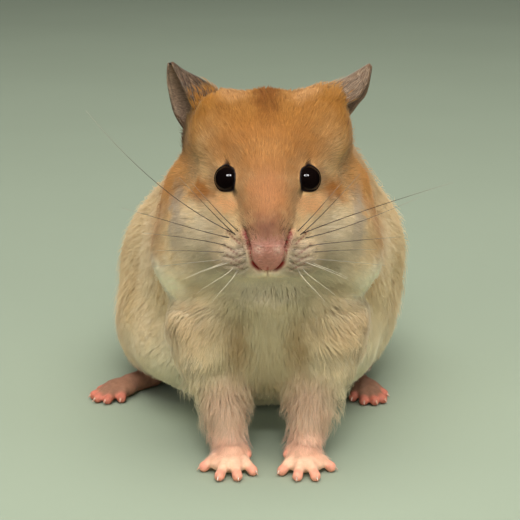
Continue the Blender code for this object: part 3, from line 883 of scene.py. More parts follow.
TONE_SPREAD = 0.17  # how far tufts differ in shade
LOCK_SIZE, LOCK_PULL = 16, 0.12  # tufts in a lock, and how far its tips are drawn together
STRAYS = 0.05  # share of the long tufts that stand out of the coat
BEND_HEIGHT = 0.42  # how high a tuft bends, as a share of its lift
OVER_FLOOR = 0.06
EAR_TONES = {-1: (0.5, 0.5), 1: (0.1, 0.0)}  # down is darker outside by one, paler inside by one

lie, length, depth, width, _ = coat_at(root)
tone = 0.5 + rng.normal(size=count) * TONE_SPREAD
is_ear = np.zeros(count, bool)
for side in (1, -1):
    on_ear, share, outside_ear, front_side = on_ear_outside(root, up, side)
    _, _, to_tip, across_it = (part[ear_place(root, side)] for part in ear_lie(side))
    down = unit(to_tip) * np.where(outside_ear, 1.0, 0.3)[:, None]
    down += unit(across_it) * np.where(outside_ear, 0.15, 0.9)[:, None]
    lie[on_ear] = down[on_ear]
    ragged_share = share + 0.1 * rng.normal(size=count)
    gold = on_ear & outside_ear & front_side & (ragged_share < GOLD_SHARE[side])
    downy = on_ear & ~gold
    for chosen, kind in ((gold, EAR_FOOT), (downy, EAR_DOWN)):
        for values, key in ((length, "length"), (depth, "depth"), (width, "width")):
            values[chosen] = kind[key]
    tone[downy] += 0.25 * rng.normal(size=downy.sum())
    darker, paler = EAR_TONES[side]
    tone[downy & outside_ear] -= darker
    tone[downy & ~outside_ear] += paler
    is_ear |= downy
# The whisker pads and the heels of the ears wear a pile so short that what grows there shows.
pad = ellipsoid(fold(root), (6.2, 3.5, 47.2), (3.4, 5, 4.6)) < 1
ear_heel = ellipsoid(fold(root), (17.0, 29.0, 64.5), (5, 5.5, 6)) < 1
for short in (pad, ear_heel):
    length[short] *= 0.55
    depth[short] *= 0.6
outer_foot = ellipsoid(root, (-18.6, 26.0, 67.6), (3.4, 7, 6.5)) < 1  # of the right ear
for sleek, longest, deepest in ((outer_foot, 1.1, 0.12), (on_hind_foot(root), 0.9, 0.14)):
    length[sleek] = np.minimum(length[sleek], longest)
    depth[sleek] = np.minimum(depth[sleek], deepest)

long_coat = smooth_step((length - 3.0) / 4.0)
side_way = np.cross(up, lie)
swirl = 0.32 * waves(root, 9.0, 3) * long_coat + 0.14 * waves(root, 3.0, 4)
lie = unit(lie) + unit(side_way) * swirl[:, None]
lie += rng.normal(size=lie.shape) * (0.13 + 0.06 * long_coat)[:, None]
lie = unit(lie - up * (lie * up).sum(1)[:, None])
length *= rng.uniform(0.72, 1.12, count)
width *= rng.uniform(0.75, 1.25, count)
arms = smooth_step((28 - root[:, 1]) / 8) * np.exp(-((root[:, 2] - 27) / 12) ** 2)
arms *= smooth_step((np.abs(root[:, 0]) - 5) / 5)
crown = smooth_step((root[:, 2] - 67) / 4) * ~is_ear
shins = smooth_step((20 - root[:, 2]) / 3) * smooth_step((24 - root[:, 1]) / 2) * (root[:, 2] > 3.5)
tufty = 0.05 * long_coat + 0.28 * arms + 0.4 * crown + 0.3 * shins  # parts into soft clumps
lift = depth * (rng.uniform(0.88, 1.03, count) - 0.3 * (crown + shins) * rng.random(count))
lift *= 1 + tufty * waves(root * (1, 1, 1.6), 4.5, 5)
stray = rng.random(count) < STRAYS * long_coat + 0.3 * shins
lift[stray] *= 1.3 + 1.0 * shins[stray]
width[stray] *= 0.55

reach = root + lie * length[:, None]
tip, tip_up = np.empty_like(root), np.empty_like(root)
for i, place in enumerate(reach.tolist()):
    spot, facing_up, _, _ = tree.find_nearest(place)
    tip[i], tip_up[i] = spot, facing_up
tip_up = unit(tip_up * 0.6 + up * 0.4)
tip += tip_up * lift[:, None]
middle = (root + tip) / 2 + up * (lift * BEND_HEIGHT)[:, None]

locks = np.flatnonzero(long_coat > 0.5)
lock_heads = rng.choice(locks, max(1, len(locks) // LOCK_SIZE), replace=False)
heads = KDTree(len(lock_heads))
for i, head in enumerate(lock_heads):
    heads.insert(root[head], i)
heads.balance()
owner = np.array([lock_heads[heads.find(place)[1]] for place in root[locks].tolist()])
pull = LOCK_PULL * rng.uniform(0.2, 1.0, len(locks))[:, None]
tip[locks] += (tip[owner] - tip[locks]) * pull
middle[locks] += (middle[owner] - middle[locks]) * pull * 0.4

for side in (1, -1):  # no tuft crosses an eye
    length[near_opening(tip, side, 1.6, 0.6)] = 0
keep = length > 0
for points in (tip, middle):
    points[:, 2] = np.maximum(points[:, 2], OVER_FLOOR)
print("tufts kept:", int(keep.sum()), "mean lift", round(float(lift.mean()), 2))

# %% [markdown]
# ## Tufts as solid mesh
# One tuft is a thin closed spindle with three sides, wide and low like a lock of hair pressed flat.
# A long tuft is fullest at its bend and runs to a point at both ends; a short one is a plain spike.
# Its outer sides are shaded almost like the body under it, so the coat looks soft and not wiry.

# %% Tuft templates
LONG_TUFT = {  # points: root, left, right and ridge of the bend, tip
    "sides": [(0, 3, 1), (0, 2, 3), (0, 1, 2), (1, 3, 4), (3, 2, 4), (2, 1, 4)],
    "leans": [-1, 1, 0, -1, 1, 0],  # which way each side leans; 0 is the side that faces the skin
    "along": [0, 0.5, 0.5, 0.5, 1],
    "across": [0.5, 0, 1, 0.5, 0.5],
    "rims": [(0, 1), (0, 2), (1, 4), (2, 4)],  # edges between the outer sides and the rest
}
SHORT_TUFT = {  # points: left, right and ridge of the root, tip
    "sides": [(0, 2, 3), (2, 1, 3), (1, 0, 3), (0, 1, 2)],
    "leans": [-1, 1, 0, 0],
    "along": [0, 0, 0, 1],
    "across": [0, 1, 0.5, 0.5],
    "rims": [(0, 1), (0, 2), (1, 2), (0, 3), (1, 3)],
}
PATCH = 0.003  # size of one tuft's place on its unrolled region
ROOT_SINK = 0.3  # how far a long tuft starts under the skin
RIDGE = 0.4  # height of a tuft's ridge, as a share of its width
SIDE_LEAN = 0.1  # how much the shading tells the two outer sides of a tuft apart


def ring(centre, side_way, up_way, half):
    return (centre - side_way * half, centre + side_way * half, centre + up_way * half * 2 * RIDGE)


def side_ways(chosen):
    return unit(np.cross(tip[chosen] - root[chosen], up[chosen]))


def tuft_points(chosen, template):
    half = width[chosen][:, None] / 2
    if template is SHORT_TUFT:
        base = root[chosen] - up[chosen] * 0.05
        return np.stack((*ring(base, side_ways(chosen), up[chosen], half), tip[chosen]), axis=1)
    base = root[chosen] - up[chosen] * ROOT_SINK
    bend = ring(middle[chosen], side_ways(chosen), up[chosen], half)
    return np.stack((base, *bend, tip[chosen]), axis=1)


def tuft_normals(chosen, template):
    """Shading for each corner of each tuft's faces."""
    body = unit(up[chosen] + tip_up[chosen])
    side_way = side_ways(chosen)
    corners_of = []
    for lean, face_corners in zip(template["leans"], template["sides"]):
        normal = unit(body + side_way * lean * SIDE_LEAN) if lean else -body
        corners_of += [normal] * len(face_corners)
    return np.stack(corners_of, axis=1)


UNWRAPS = {  # how a region is unrolled: (point of its core, axis it is unrolled round)
    "head": ((0, 22, 50), 2), "crown": ((0, 22, 52), 0), "trunk": ((0, 62, 30), 1),
    "rump": ((0, 60, 32), 2), "breast": ((0, 26, 26), 2), "leg_left": ((9, 14, 10), 2),
    "leg_right": ((-9, 14, 10), 2), "ear_left": ((16, 27.5, 73), 2),
    "ear_right": ((-16, 25.5, 73), 2),
}


def unrolled(points, unwrap):
    """A place from 0 to 1 on a region unrolled round its own core."""
    core, axis = UNWRAPS[unwrap]
    away = points - core
    others = [i for i in range(3) if i != axis]
    angle = np.arctan2(away[:, others[0]], -away[:, others[1]] * (1 if axis == 2 else -1))
    if unwrap == "rump":
        angle = np.arctan2(away[:, 0], away[:, 1])
    height = away[:, axis]
    flat = np.column_stack((angle, height))
    flat -= flat.min(0)
    return 0.005 + flat / np.maximum(flat.max(0), 1e-6) * (0.99 - PATCH)


def tuft_mesh(name, chosen, template, unwrap):
    """Joins the chosen tufts into one mesh piece."""
    per = len(template["along"])
    number = len(chosen)
    mesh = bpy.data.meshes.new(name)
    loops = np.concatenate([np.array(f) for f in template["sides"]])
    sizes = np.array([len(f) for f in template["sides"]])
    base = np.arange(number) * per
    mesh.vertices.add(number * per)
    mesh.vertices.foreach_set("co", tuft_points(chosen, template).ravel())
    mesh.loops.add(number * len(loops))
    mesh.loops.foreach_set("vertex_index", (base[:, None] + loops).ravel())
    mesh.polygons.add(number * len(sizes))
    starts = np.concatenate(([0], np.cumsum(sizes)[:-1]))
    starts = np.arange(number)[:, None] * len(loops) + starts
    mesh.polygons.foreach_set("loop_start", starts.ravel())
    mesh.polygons.foreach_set("use_smooth", np.ones(number * len(sizes), bool))
    mesh.update(calc_edges=True)
    flat = unrolled(root[chosen], unwrap)
    across, along = np.array(template["across"])[loops], np.array(template["along"])[loops]
    patch = np.stack((flat[:, :1] + across * PATCH, flat[:, 1:] + along * PATCH), axis=2)
    layer = mesh.uv_layers.new(name="OFBake")
    layer.uv.foreach_set("vector", patch.ravel().astype(np.float32))
    edges = np.empty(len(mesh.edges) * 2, int)
    mesh.edges.foreach_get("vertices", edges)
    edges = np.sort(edges.reshape(-1, 2) % per, axis=1) @ (10, 1)
    rims = np.isin(edges, [low * 10 + high for low, high in template["rims"]])
    mesh.attributes.new("sharp_edge", "BOOLEAN", "EDGE").data.foreach_set("value", rims)
    shading = mesh.attributes.new("custom_normal", "FLOAT_VECTOR", "CORNER")
    shading.data.foreach_set("vector", tuft_normals(chosen, template).ravel().astype(np.float32))
    write_mask(mesh, "along", np.tile(template["along"], number))
    write_mask(mesh, "tone", np.repeat(tone[chosen], per))
    made = bpy.data.objects.new(name, mesh)
    bpy.context.scene.collection.objects.link(made)
    return made


upper_head = smooth_step((root[:, 2] - 46) / 6) * smooth_step((34 - root[:, 1]) / 8)
contrast = 1 + 0.9 * upper_head + 1.0 * shins - 0.75 * long_coat * (1 - arms)
# painted light and shade: slow waves of paler and darker tone, strongest on the arms, for the lit
# lobes of the wavy fur and the shade between them
painted_lobe_shade = 0.25 * waves(root, 4.0, 6) * (0.35 + 2.6 * arms)
tone = 0.5 + (tone - 0.5) * contrast + painted_lobe_shade
tone += pad * (0.65 * rng.normal(size=count) - 2.0 * whisker_dots(root))
tone -= 3.0 * (rng.random(count) < 0.6 * flecked(root)) * rng.uniform(0.4, 1, count)

# %% [markdown]
# ## The coat in regions
# The coat is parted into regions as a furrier would name them, so each stays light enough to handle
# and can be unrolled on its own. A root belongs to the region whose middle is nearest.

# %% Make the coat
FURS = [
    # (name, middle, unrolled as, finish); one that lies off the midline has its like on each side
    ("coat_muzzle", (0, 3, 44), "head", "coat_cream"),
    ("coat_muzzle", (8, 5, 47), "head", "coat_cream"),
    ("coat_snout", (0, 7, 56), "head", "coat_gold"),
    ("coat_brow", (0, 12, 66), "head", "coat_gold"),
    ("coat_temple", (14, 15, 62), "head", "coat_gold"),
    ("coat_cheek", (17, 15, 48), "head", "coat_cream"),
    ("coat_throat", (0, 11, 36), "breast", "coat_cream"),
    ("coat_crown", (0, 22, 76), "crown", "coat_gold"),
    ("coat_nape", (0, 40, 68), "trunk", "coat_gold"),
    ("coat_neck", (24, 32, 56), "trunk", "coat_gold"),
    ("coat_breast", (0, 12, 26), "breast", "coat_cream"),
    ("coat_shoulder", (22, 26, 32), "trunk", "coat_cream"),
    ("coat_foreleg", (10, 14, 12), "leg", "coat_cream"),
    ("coat_back", (13, 66, 64), "trunk", "coat_gold"),
    ("coat_flank", (34, 58, 36), "trunk", "coat_gold"),
    ("coat_haunch", (32, 66, 10), "trunk", "coat_gold"),
    ("coat_rump", (0, 96, 46), "rump", "coat_gold"),
    ("coat_rump_foot", (0, 102, 14), "rump", "coat_gold"),
    ("coat_belly", (0, 50, 2), "trunk", "coat_cream"),
]
REGIONS = {}
for name, (x, y, z), unwrap, finish in FURS:
    if x == 0:
        REGIONS[name] = ((x, y, z), unwrap, finish)
        continue
    for side, label in SIDES:
        unwrap_here = f"leg_{label}" if unwrap == "leg" else unwrap
        REGIONS[f"{name}_{label}"] = ((x * side, y, z), unwrap_here, finish)
SHORT_REACH = 2.3  # tufts shorter than this need no bend
FEWEST = 30  # a region with fewer tufts of a kind goes without
TEMPLATES = (("", LONG_TUFT, length >= SHORT_REACH), ("_short", SHORT_TUFT, length < SHORT_REACH))
ordered = list(REGIONS)
middles = np.array([REGIONS[name][0] for name in ordered], float)
region = np.array([np.argmin(((middles - place) ** 2).sum(1)) for place in root])
coat = []
for i, name in enumerate(ordered):
    _, unwrap, finish = REGIONS[name]
    here = keep & ~is_ear & (region == i)
    for suffix, template, pick in TEMPLATES:
        chosen = np.flatnonzero(here & pick)
        if len(chosen) >= FEWEST:
            coat.append((tuft_mesh(name + suffix, chosen, template, unwrap), finish))
for side, label in SIDES:
    chosen = np.flatnonzero(keep & is_ear & (np.sign(root[:, 0]) == side))
    coat.append((tuft_mesh(f"coat_ear_{label}", chosen, SHORT_TUFT, f"ear_{label}"), "ear_grey"))
triangles = {made.name: len(made.data.polygons) for made, _ in coat}
print("coat:", sum(triangles.values()), "triangles in", len(coat), "pieces; largest",
      max(triangles.items(), key=lambda item: item[1]))

# %% [markdown]
# ## Eyes
# Each eye is one glossy ball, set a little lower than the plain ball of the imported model, which it
# stands in for.

# %% Eye balls
def placed(obj):
    """Moves a piece from the nose's millimetres to the frame's metres."""
    obj.data.transform(TO_WORLD)
    obj.data.update()
    return obj


def shade_smooth(obj):
    obj.data.polygons.foreach_set("use_smooth", np.ones(len(obj.data.polygons), bool))
    return obj


eye_balls = []
for side, label in SIDES:
    clay = bmesh.new()
    add_ball(clay, eye_centre[side], EYE_BALL, detail=5)
    eye_balls.append((shade_smooth(mesh_object(f"eye_ball_{label}", clay)), f"eye_{label}"))
print("eye balls:", len(eye_balls))

# %% [markdown]
# ## Claws
# A hamster's claws are short, clear horn with a blunt tip. Each is a tapered tube that leaves the
# toe's end, bends down and stops just above the floor.

# %% Claws
CLAW_LENGTH, CLAW_HALF = 1.0, 0.3
CLAW_STEPS, CLAW_SIDES = 7, 10
CLAW_BEND = 0.75  # how far the tip drops
CLAW_FLATNESS = 0.8  # width as a share of height
CLAW_OVER_FLOOR = 0.03


def add_claw(clay, tip, direction, thick):
    start = tip + direction * (thick * 0.55) + Vector((0, 0, thick * 0.22))
    rings = []
    across = direction.cross(Vector((0, 0, 1))).normalized()
    for i in range(CLAW_STEPS + 1):
        share = i / CLAW_STEPS
        drop = Vector((0, 0, CLAW_BEND * share ** 1.8))
        middle = start + direction * (CLAW_LENGTH * share) - drop
        half = CLAW_HALF * (1 - share ** 1.6) + 0.03
        rings.append([clay.verts.new(middle + across * (math.cos(a) * half * CLAW_FLATNESS)
                                     + Vector((0, 0, math.sin(a) * half)))
                      for a in (math.tau * k / CLAW_SIDES for k in range(CLAW_SIDES))])
    add_tube(clay, rings)


claws = {}
for kind in ("fore", "hind"):
    for side, label in SIDES:
        clay = bmesh.new()
        for paw_kind, tip_place, direction, thick, clawed in toe_tips:
            if paw_kind == kind and clawed and math.copysign(1, tip_place.x) == side:
                add_claw(clay, tip_place, direction, thick)
        bmesh.ops.recalc_face_normals(clay, faces=clay.faces)
        for vertex in clay.verts:
            vertex.co.z = max(vertex.co.z, CLAW_OVER_FLOOR)
        claws[kind, label] = shade_smooth(mesh_object(f"claws_{kind}_{label}", clay))
print("claw pieces:", len(claws))

# %% [markdown]
# ## Whiskers
# Whiskers grow from the whisker pads, the longest from the highest. They are single stiff hairs:
# thin tubes that taper to almost nothing and sag or rise a little. The upper ones are dark, and the
# lower ones are pale almost from the root.

# %% Whiskers
WHISKERS = [
    # (x, z of the root, degrees up, degrees back, length, drop of left and right tip, shade)
    (6.4, 50.6, 15, 26, 34, (1.0, -11.0), 0.0), (6.8, 49.6, 8, 30, 27, (-1.5, 0.5), 0.05),
    (5.6, 51.0, 38, 36, 13, (0.0, 0.0), 0.0), (6.0, 50.2, 30, 40, 18, (-0.6, 0.4), 0.0),
    (7.4, 48.4, 2, 30, 20, (0.4, 0.8), 0.05), (7.6, 47.2, -4, 36, 17, (0.6, 0.6), 0.1),
    (7.0, 46.0, -10, 32, 20, (0.4, 0.0), 0.35), (6.6, 45.6, -18, 30, 11, (1.2, 1.0), 0.85),
    (6.0, 44.6, -28, 26, 10, (1.2, 1.0), 0.9), (5.6, 43.8, -42, 20, 8, (1.0, 1.0), 0.95),
    (7.8, 45.4, -20, 44, 12, (1.2, 1.4), 0.9),
]
WHISKER_STEPS, WHISKER_SIDES = 14, 5
WHISKER_ROOT, WHISKER_TIP = 0.12, 0.02


def add_whisker(clay, path, shade):
    layer = clay.verts.layers.float["shade"]
    rings = []
    for i, place in enumerate(path):
        share = i / (len(path) - 1)
        forward = (path[min(i + 1, len(path) - 1)] - path[max(i - 1, 0)]).normalized()
        side_way = forward.cross(Vector((0, 0, 1))).normalized()
        up_way = side_way.cross(forward)
        half = (WHISKER_ROOT + (WHISKER_TIP - WHISKER_ROOT) * share ** 0.8) * (1 - 0.3 * shade)
        row = []
        for k in range(WHISKER_SIDES):
            a = math.tau * k / WHISKER_SIDES
            vertex = clay.verts.new(place + (side_way * math.cos(a) + up_way * math.sin(a)) * half)
            vertex[layer] = min(1, shade * min(1, share * 5) + (1 - shade) * max(0, share - 0.6))
            row.append(vertex)
        rings.append(row)
    add_tube(clay, rings)


whiskers = []
for side, label in SIDES:
    clay = bmesh.new()
    clay.verts.layers.float.new("shade")
    for x, z, rise, back, long, drop, shade in WHISKERS:
        sag = drop[0] if side > 0 else drop[1]
        rise += rng.normal() * 1.5
        back += rng.normal() * 3
        start, out, _, _ = tree.ray_cast(Vector((x * side, -20, z)), Vector((0, 1, 0)))
        if start is None:
            continue
        rise, back = math.radians(rise), math.radians(back)
        aim = Vector((math.cos(rise) * math.cos(back) * side, math.cos(rise) * math.sin(back),
                      math.sin(rise)))
        path = []
        for i in range(WHISKER_STEPS + 1):
            share = i / WHISKER_STEPS
            clear = 1.5 * (1 - (1 - share) ** 6) - 0.4  # it starts in the skin and stands out of it
            fall = Vector((0, 0, sag * share ** 2))
            path.append(start + out * clear + aim * (long * share) - fall)
        add_whisker(clay, path, shade)
    bmesh.ops.recalc_face_normals(clay, faces=clay.faces)
    whiskers.append(shade_smooth(mesh_object(f"whiskers_{label}", clay)))
print("whiskers:", len(WHISKERS), "on each side")

# %% [markdown]
# ## Markings
# The golden coat is not one colour: the crown and back are gold, the cheeks and belly cream, and a
# pale stripe runs down behind each cheek. Each marking is a soft patch, an ellipsoid that fades at
# its edge, and each covers what lies under it. One group paints skin and coat alike, from a place
# on the body. A few patches are painted light and shade rather than the coat's own colour: shade in
# the snout grooves and the arm creases, part of the breast's darker cream, and a highlight on the
# nose bridge.

# %% The group for markings
def srgb(red, green, blue):
    """A colour as a paint chart gives it, 0 to 255, turned into light."""
    return tuple(((c / 255 + 0.055) / 1.055) ** 2.4 if c > 10 else c / 255 / 12.92
                 for c in (red, green, blue)) + (1.0,)


BASE_COAT = srgb(234, 200, 142)
RAGGED_REACH = 3.6  # millimetres over which a marking's edge strays
PATCHES = [
    # (name, both sides, middle, radii, softness, colour, strength)
    ("golden back", True, (0, 66, 67), (33, 50, 27), 0.45, srgb(166, 114, 63), 0.85),
    ("cream underside", True, (0, 40, 4), (34, 60, 24), 0.4, srgb(236, 223, 180), 1.0),
    # darker cream on the breast: partly the coat's own cream and partly painted shade under the chin
    ("shaded cream breast", True, (0, 12, 26), (19, 14, 18), 0.4, srgb(184, 166, 122), 1.0),
    ("cream shoulder", True, (20, 22, 28), (12, 14, 15), 0.5, srgb(232, 206, 162), 0.9),
    ("pale stripe", True, (28, 40, 46), (3.2, 12, 24), 0.6, srgb(252, 230, 186), 0.8),
    ("neck band", True, (23.6, 33, 50), (4.4, 17, 15), 0.75, srgb(186, 120, 50), 1.0),
    ("crown", True, (0, 20, 72), (19, 14, 12), 0.5, srgb(158, 103, 44), 1.0),
    ("forehead", True, (0, 11, 65), (12, 8, 7), 0.5, srgb(172, 108, 44), 0.8),
    ("crown streak", True, (0.8, 20, 76), (1.9, 10, 5), 0.7, srgb(112, 60, 14), 0.75),
    ("ear foot", True, (15.5, 24, 71), (6.0, 8, 7), 0.6, srgb(158, 100, 30), 0.9),
    ("snout", True, (0, 5, 57), (6.0, 6, 6.5), 0.6, srgb(168, 103, 50), 0.9),
    ("snout tip", True, (0, 2.5, 52.0), (4.4, 5, 3.4), 0.7, srgb(118, 64, 38), 0.9),
    ("eye flash", True, (13.5, 12, 57), (3.4, 5, 2.8), 0.7, srgb(166, 92, 16), 0.9),
    ("temple", True, (19.5, 23, 61), (5.5, 13, 9.5), 0.5, srgb(208, 142, 70), 0.9),
    ("white cheek", True, (12.0, 12, 46.5), (7.4, 11, 8.0), 0.45, srgb(202, 179, 140), 1.0),
    ("cheek edge", True, (18.2, 17, 50.5), (1.5, 9, 6.0), 0.7, srgb(176, 156, 130), 0.8),
    ("muzzle", True, (4.5, 4, 45), (5.5, 7, 5.6), 0.45, srgb(172, 152, 128), 0.9),
    ("chin", True, (0, 8, 38.6), (13, 9, 4.0), 0.7, srgb(252, 232, 194), 0.95),
    ("under eye", True, (8.2, 8, 55.4), (3.4, 3.5, 2.0), 0.7, srgb(236, 177, 118), 0.9),
    ("pale brow", True, (6.4, 8, 63.2), (1.7, 4, 2.6), 0.8, srgb(166, 124, 78), 0.4),
    # painted shade: a darker line in the groove that runs from the eye's inner corner down the snout
    ("snout groove shade", True, (5.5, 6, 56.4), (0.9, 4, 3.2), 0.7, srgb(112, 70, 34), 0.3),
    ("nose blush", True, (0, 2.5, 50.0), (4.6, 5, 2.2), 0.8, srgb(118, 62, 44), 0.8),
    # painted highlight: a paler spot on the ridge of the nose bridge, where the light catches it
    ("painted bridge highlight", True, (0.4, 5, 58.2), (2.5, 5, 2.8), 0.9, srgb(214, 146, 92), 0.55),
    ("dark ear foot", False, (-18.0, 25, 68.2), (3.4, 6, 5.6), 0.4, srgb(66, 34, 14), 0.95),
    ("crown pale", True, (7.0, 21, 77), (3.2, 7, 2.6), 0.8, srgb(212, 158, 104), 0.6),
    ("ruff lobe", True, (20.4, 20, 37.5), (4.5, 10, 4.6), 0.6, srgb(255, 242, 204), 1.0),
    ("arm tint", True, (15, 17, 27), (7, 9, 4.0), 0.9, srgb(190, 146, 88), 0.4),
    # painted shade: a darker band in the fold where the upper arm meets the breast
    ("arm crease shade", True, (6.2, 13, 23.5), (2.2, 6, 5.5), 0.9, srgb(134, 92, 34), 0.5),
    ("forearm", True, (8.5, 11, 9), (6.0, 9, 8), 0.5, srgb(216, 177, 143), 0.85),
    ("wrist and paw", True, (8, 7.5, 1.5), (9, 10, 5.5), 0.4, srgb(240, 194, 160), 1.0),
    ("hind foot left", False, (25.5, 50, 2), (10, 14, 5.5), 0.35, srgb(142, 104, 82), 1.0),
    ("hind foot right", False, (-32, 51, 2), (12, 14, 5.5), 0.35, srgb(152, 110, 86), 1.0),
]


def node(tree_of_nodes, kind, place=(0, 0), sources=None, **settings):
    """A new node. Each source fills one input, from another node's output or with a plain value."""
    made = tree_of_nodes.nodes.new(kind)
    made.location = place
    for key, value in settings.items():
        setattr(made, key, value)
    for socket, source in (sources or {}).items():
        if isinstance(source, bpy.types.NodeSocket):
            tree_of_nodes.links.new(source, made.inputs[socket])
        else:
            made.inputs[socket].default_value = source
    return made


def plain_math(tree_of_nodes, operation, place, *sources):
    sources = dict(enumerate(sources))
    return node(tree_of_nodes, "ShaderNodeMath", place, sources, operation=operation).outputs[0]


def vector_math(tree_of_nodes, operation, place, sources):
    made = node(tree_of_nodes, "ShaderNodeVectorMath", place, sources, operation=operation)
    return made.outputs["Value" if operation == "LENGTH" else "Vector"]


def new_group(name, inputs):
    """An empty group that gives a colour: the group, its inputs and the node for the colour."""
    group = bpy.data.node_groups.new(name, "ShaderNodeTree")
    for label, kind, value in inputs:
        socket = group.interface.new_socket(
            name=label, in_out="INPUT", socket_type=f"NodeSocket{kind}")
        if value is not None:
            socket.default_value = value
    group.interface.new_socket(name="Colour", in_out="OUTPUT", socket_type="NodeSocketColor")
    return group, node(group, "NodeGroupInput").outputs, node(group, "NodeGroupOutput", (1200, 0))


def patch_group():
    """One soft patch: lays a colour over another inside an ellipsoid."""
    group, given, result = new_group("soft patch", [
        ("Place", "Vector", None), ("Middle", "Vector", None), ("Radii", "Vector", (1, 1, 1)),
        ("Softness", "Float", 0.4), ("Strength", "Float", 1.0),
        ("Under", "Color", None), ("Over", "Color", None)])
    away = vector_math(group, "SUBTRACT", (200, 0), {0: given["Place"], 1: given["Middle"]})
    scaled = vector_math(group, "DIVIDE", (360, 0), {0: away, 1: given["Radii"]})
    fade = node(group, "ShaderNodeMapRange", (700, 0), {
        "Value": vector_math(group, "LENGTH", (520, 0), {0: scaled}),
        "From Min": plain_math(group, "SUBTRACT", (520, -200), 1.0, given["Softness"]),
        "From Max": plain_math(group, "ADD", (520, -360), 1.0, given["Softness"]),
        "To Min": given["Strength"], "To Max": 0.0}, interpolation_type="SMOOTHSTEP")
    cover = node(group, "ShaderNodeMix", (900, 0), {
        "Factor": fade.outputs["Result"], "A": given["Under"], "B": given["Over"]},
        data_type="RGBA")
    group.links.new(cover.outputs["Result"], result.inputs["Colour"])
    return group


soft_patch = patch_group()


def markings_group():
    """Colour of the animal at a place, with ragged edges as hair gives them."""
    group, given, result = new_group("coat markings", [
        ("Place", "Vector", None), ("Raggedness", "Float", 1.0)])
    place = vector_math(group, "MULTIPLY_ADD", (0, 0), {
        0: given["Place"], 1: (1 / MM,) * 3, 2: tuple(-NOSE / MM)})
    ragged = node(group, "ShaderNodeTexNoise", (0, -300), {
        "Vector": place, "Scale": 0.42, "Detail": 2.0})
    centred = vector_math(group, "SUBTRACT", (180, -300), {
        0: ragged.outputs["Color"], 1: (0.5, 0.5, 0.5)})
    amount = plain_math(group, "MULTIPLY", (180, -480), given["Raggedness"], RAGGED_REACH)
    sized = vector_math(group, "SCALE", (340, -300), {0: centred, "Scale": amount})
    moved = vector_math(group, "ADD", (500, 0), {0: place, 1: sized})
    parts = node(group, "ShaderNodeSeparateXYZ", (660, 0), {0: moved}).outputs
    outward = plain_math(group, "ABSOLUTE", (820, 0), parts["X"])
    folded_place = node(group, "ShaderNodeCombineXYZ", (980, 0), {
        "X": outward, "Y": parts["Y"], "Z": parts["Z"]}).outputs[0]
    colour = BASE_COAT
    for i, (name, on_both, middle, radii, softness, over, strength) in enumerate(PATCHES):
        patch = node(group, "ShaderNodeGroup", (1200 + 180 * i, 0), {
            "Place": folded_place if on_both else moved, "Middle": middle, "Radii": radii,
            "Softness": softness, "Strength": strength, "Over": over, "Under": colour},
            node_tree=soft_patch, label=name)
        colour = patch.outputs["Colour"]
    result.location = (1400 + 180 * len(PATCHES), 0)
    group.links.new(colour, result.inputs["Colour"])
    return group


markings = markings_group()
print("markings:", len(PATCHES), "patches")

# %% [markdown]
# ## Hair shade
# A tuft is darkest at its root, where its neighbours shade it, and palest at its tip, and no two
# tufts are quite alike. The group turns the marking's colour into the colour of a place on a tuft.

# %% The group for hair shade
def hair_group():
    group, given, result = new_group("hair shade", [
        ("Marking", "Color", None), ("Along", "Float", 0.5), ("Tone", "Float", 0.5),
        ("Root", "Float", 0.7), ("Tip", "Float", 1.1), ("Variety", "Float", 0.3)])
    along = node(group, "ShaderNodeMapRange", (200, 0), {
        "Value": given["Along"], "To Min": given["Root"], "To Max": given["Tip"]})
    centred = plain_math(group, "SUBTRACT", (200, -200), given["Tone"], 0.5)
    varied = plain_math(group, "MULTIPLY_ADD", (360, -200), centred, given["Variety"], 1.0)
    both = plain_math(group, "MULTIPLY", (520, 0), along.outputs["Result"], varied)
    shaded = vector_math(group, "SCALE", (700, 0), {0: given["Marking"], "Scale": both})
    group.links.new(shaded, result.inputs["Colour"])
    return group


hair_shade = hair_group()

# %% [markdown]
# ## Finishes
# The coat is soft and matt with a faint sheen. Skin is a little translucent. The eyes are wet
# black, and claws and whiskers are horn.

# %% Finish helpers
def new_material(name, **constants):
    """A material with a Principled shader whose plain values sit on its own sockets."""
    made = bpy.data.materials.new(name)
    made.use_nodes = True
    shader = made.node_tree.nodes["Principled BSDF"]
    for key, value in constants.items():
        shader.inputs[key.replace("_", " ")].default_value = value
    return made, made.node_tree, shader


def attribute(tree_of_nodes, name, place=(-900, -300)):
    return node(tree_of_nodes, "ShaderNodeAttribute", place, attribute_name=name).outputs["Fac"]


def object_place(tree_of_nodes, place):
    return node(tree_of_nodes, "ShaderNodeTexCoord", place).outputs["Object"]


def use_markings(tree_of_nodes, raggedness=1.0):
    paint = node(tree_of_nodes, "ShaderNodeGroup", (-1100, 0), {
        "Place": object_place(tree_of_nodes, (-1300, 0)), "Raggedness": raggedness},
        node_tree=markings)
    return paint.outputs["Colour"]


def ramp_colour(tree_of_nodes, shader, value, low, high):
    """Colours a shader from low to high as a value goes from 0 to 1."""
    ramp = node(tree_of_nodes, "ShaderNodeValToRGB", (-450, 0), {"Fac": value})
    ramp.color_ramp.elements[0].color, ramp.color_ramp.elements[1].color = low, high
    tree_of_nodes.links.new(ramp.outputs["Color"], shader.inputs["Base Color"])


def mottled_material(name, scale, low, high, detail=2.0, **constants):
    """A material that wanders between two colours."""
    made, tree_of_nodes, shader = new_material(name, **constants)
    mottle = node(tree_of_nodes, "ShaderNodeTexNoise", (-700, 0), {
        "Vector": object_place(tree_of_nodes, (-900, 0)), "Scale": scale, "Detail": detail})
    ramp_colour(tree_of_nodes, shader, mottle.outputs["Fac"], low, high)
    return made


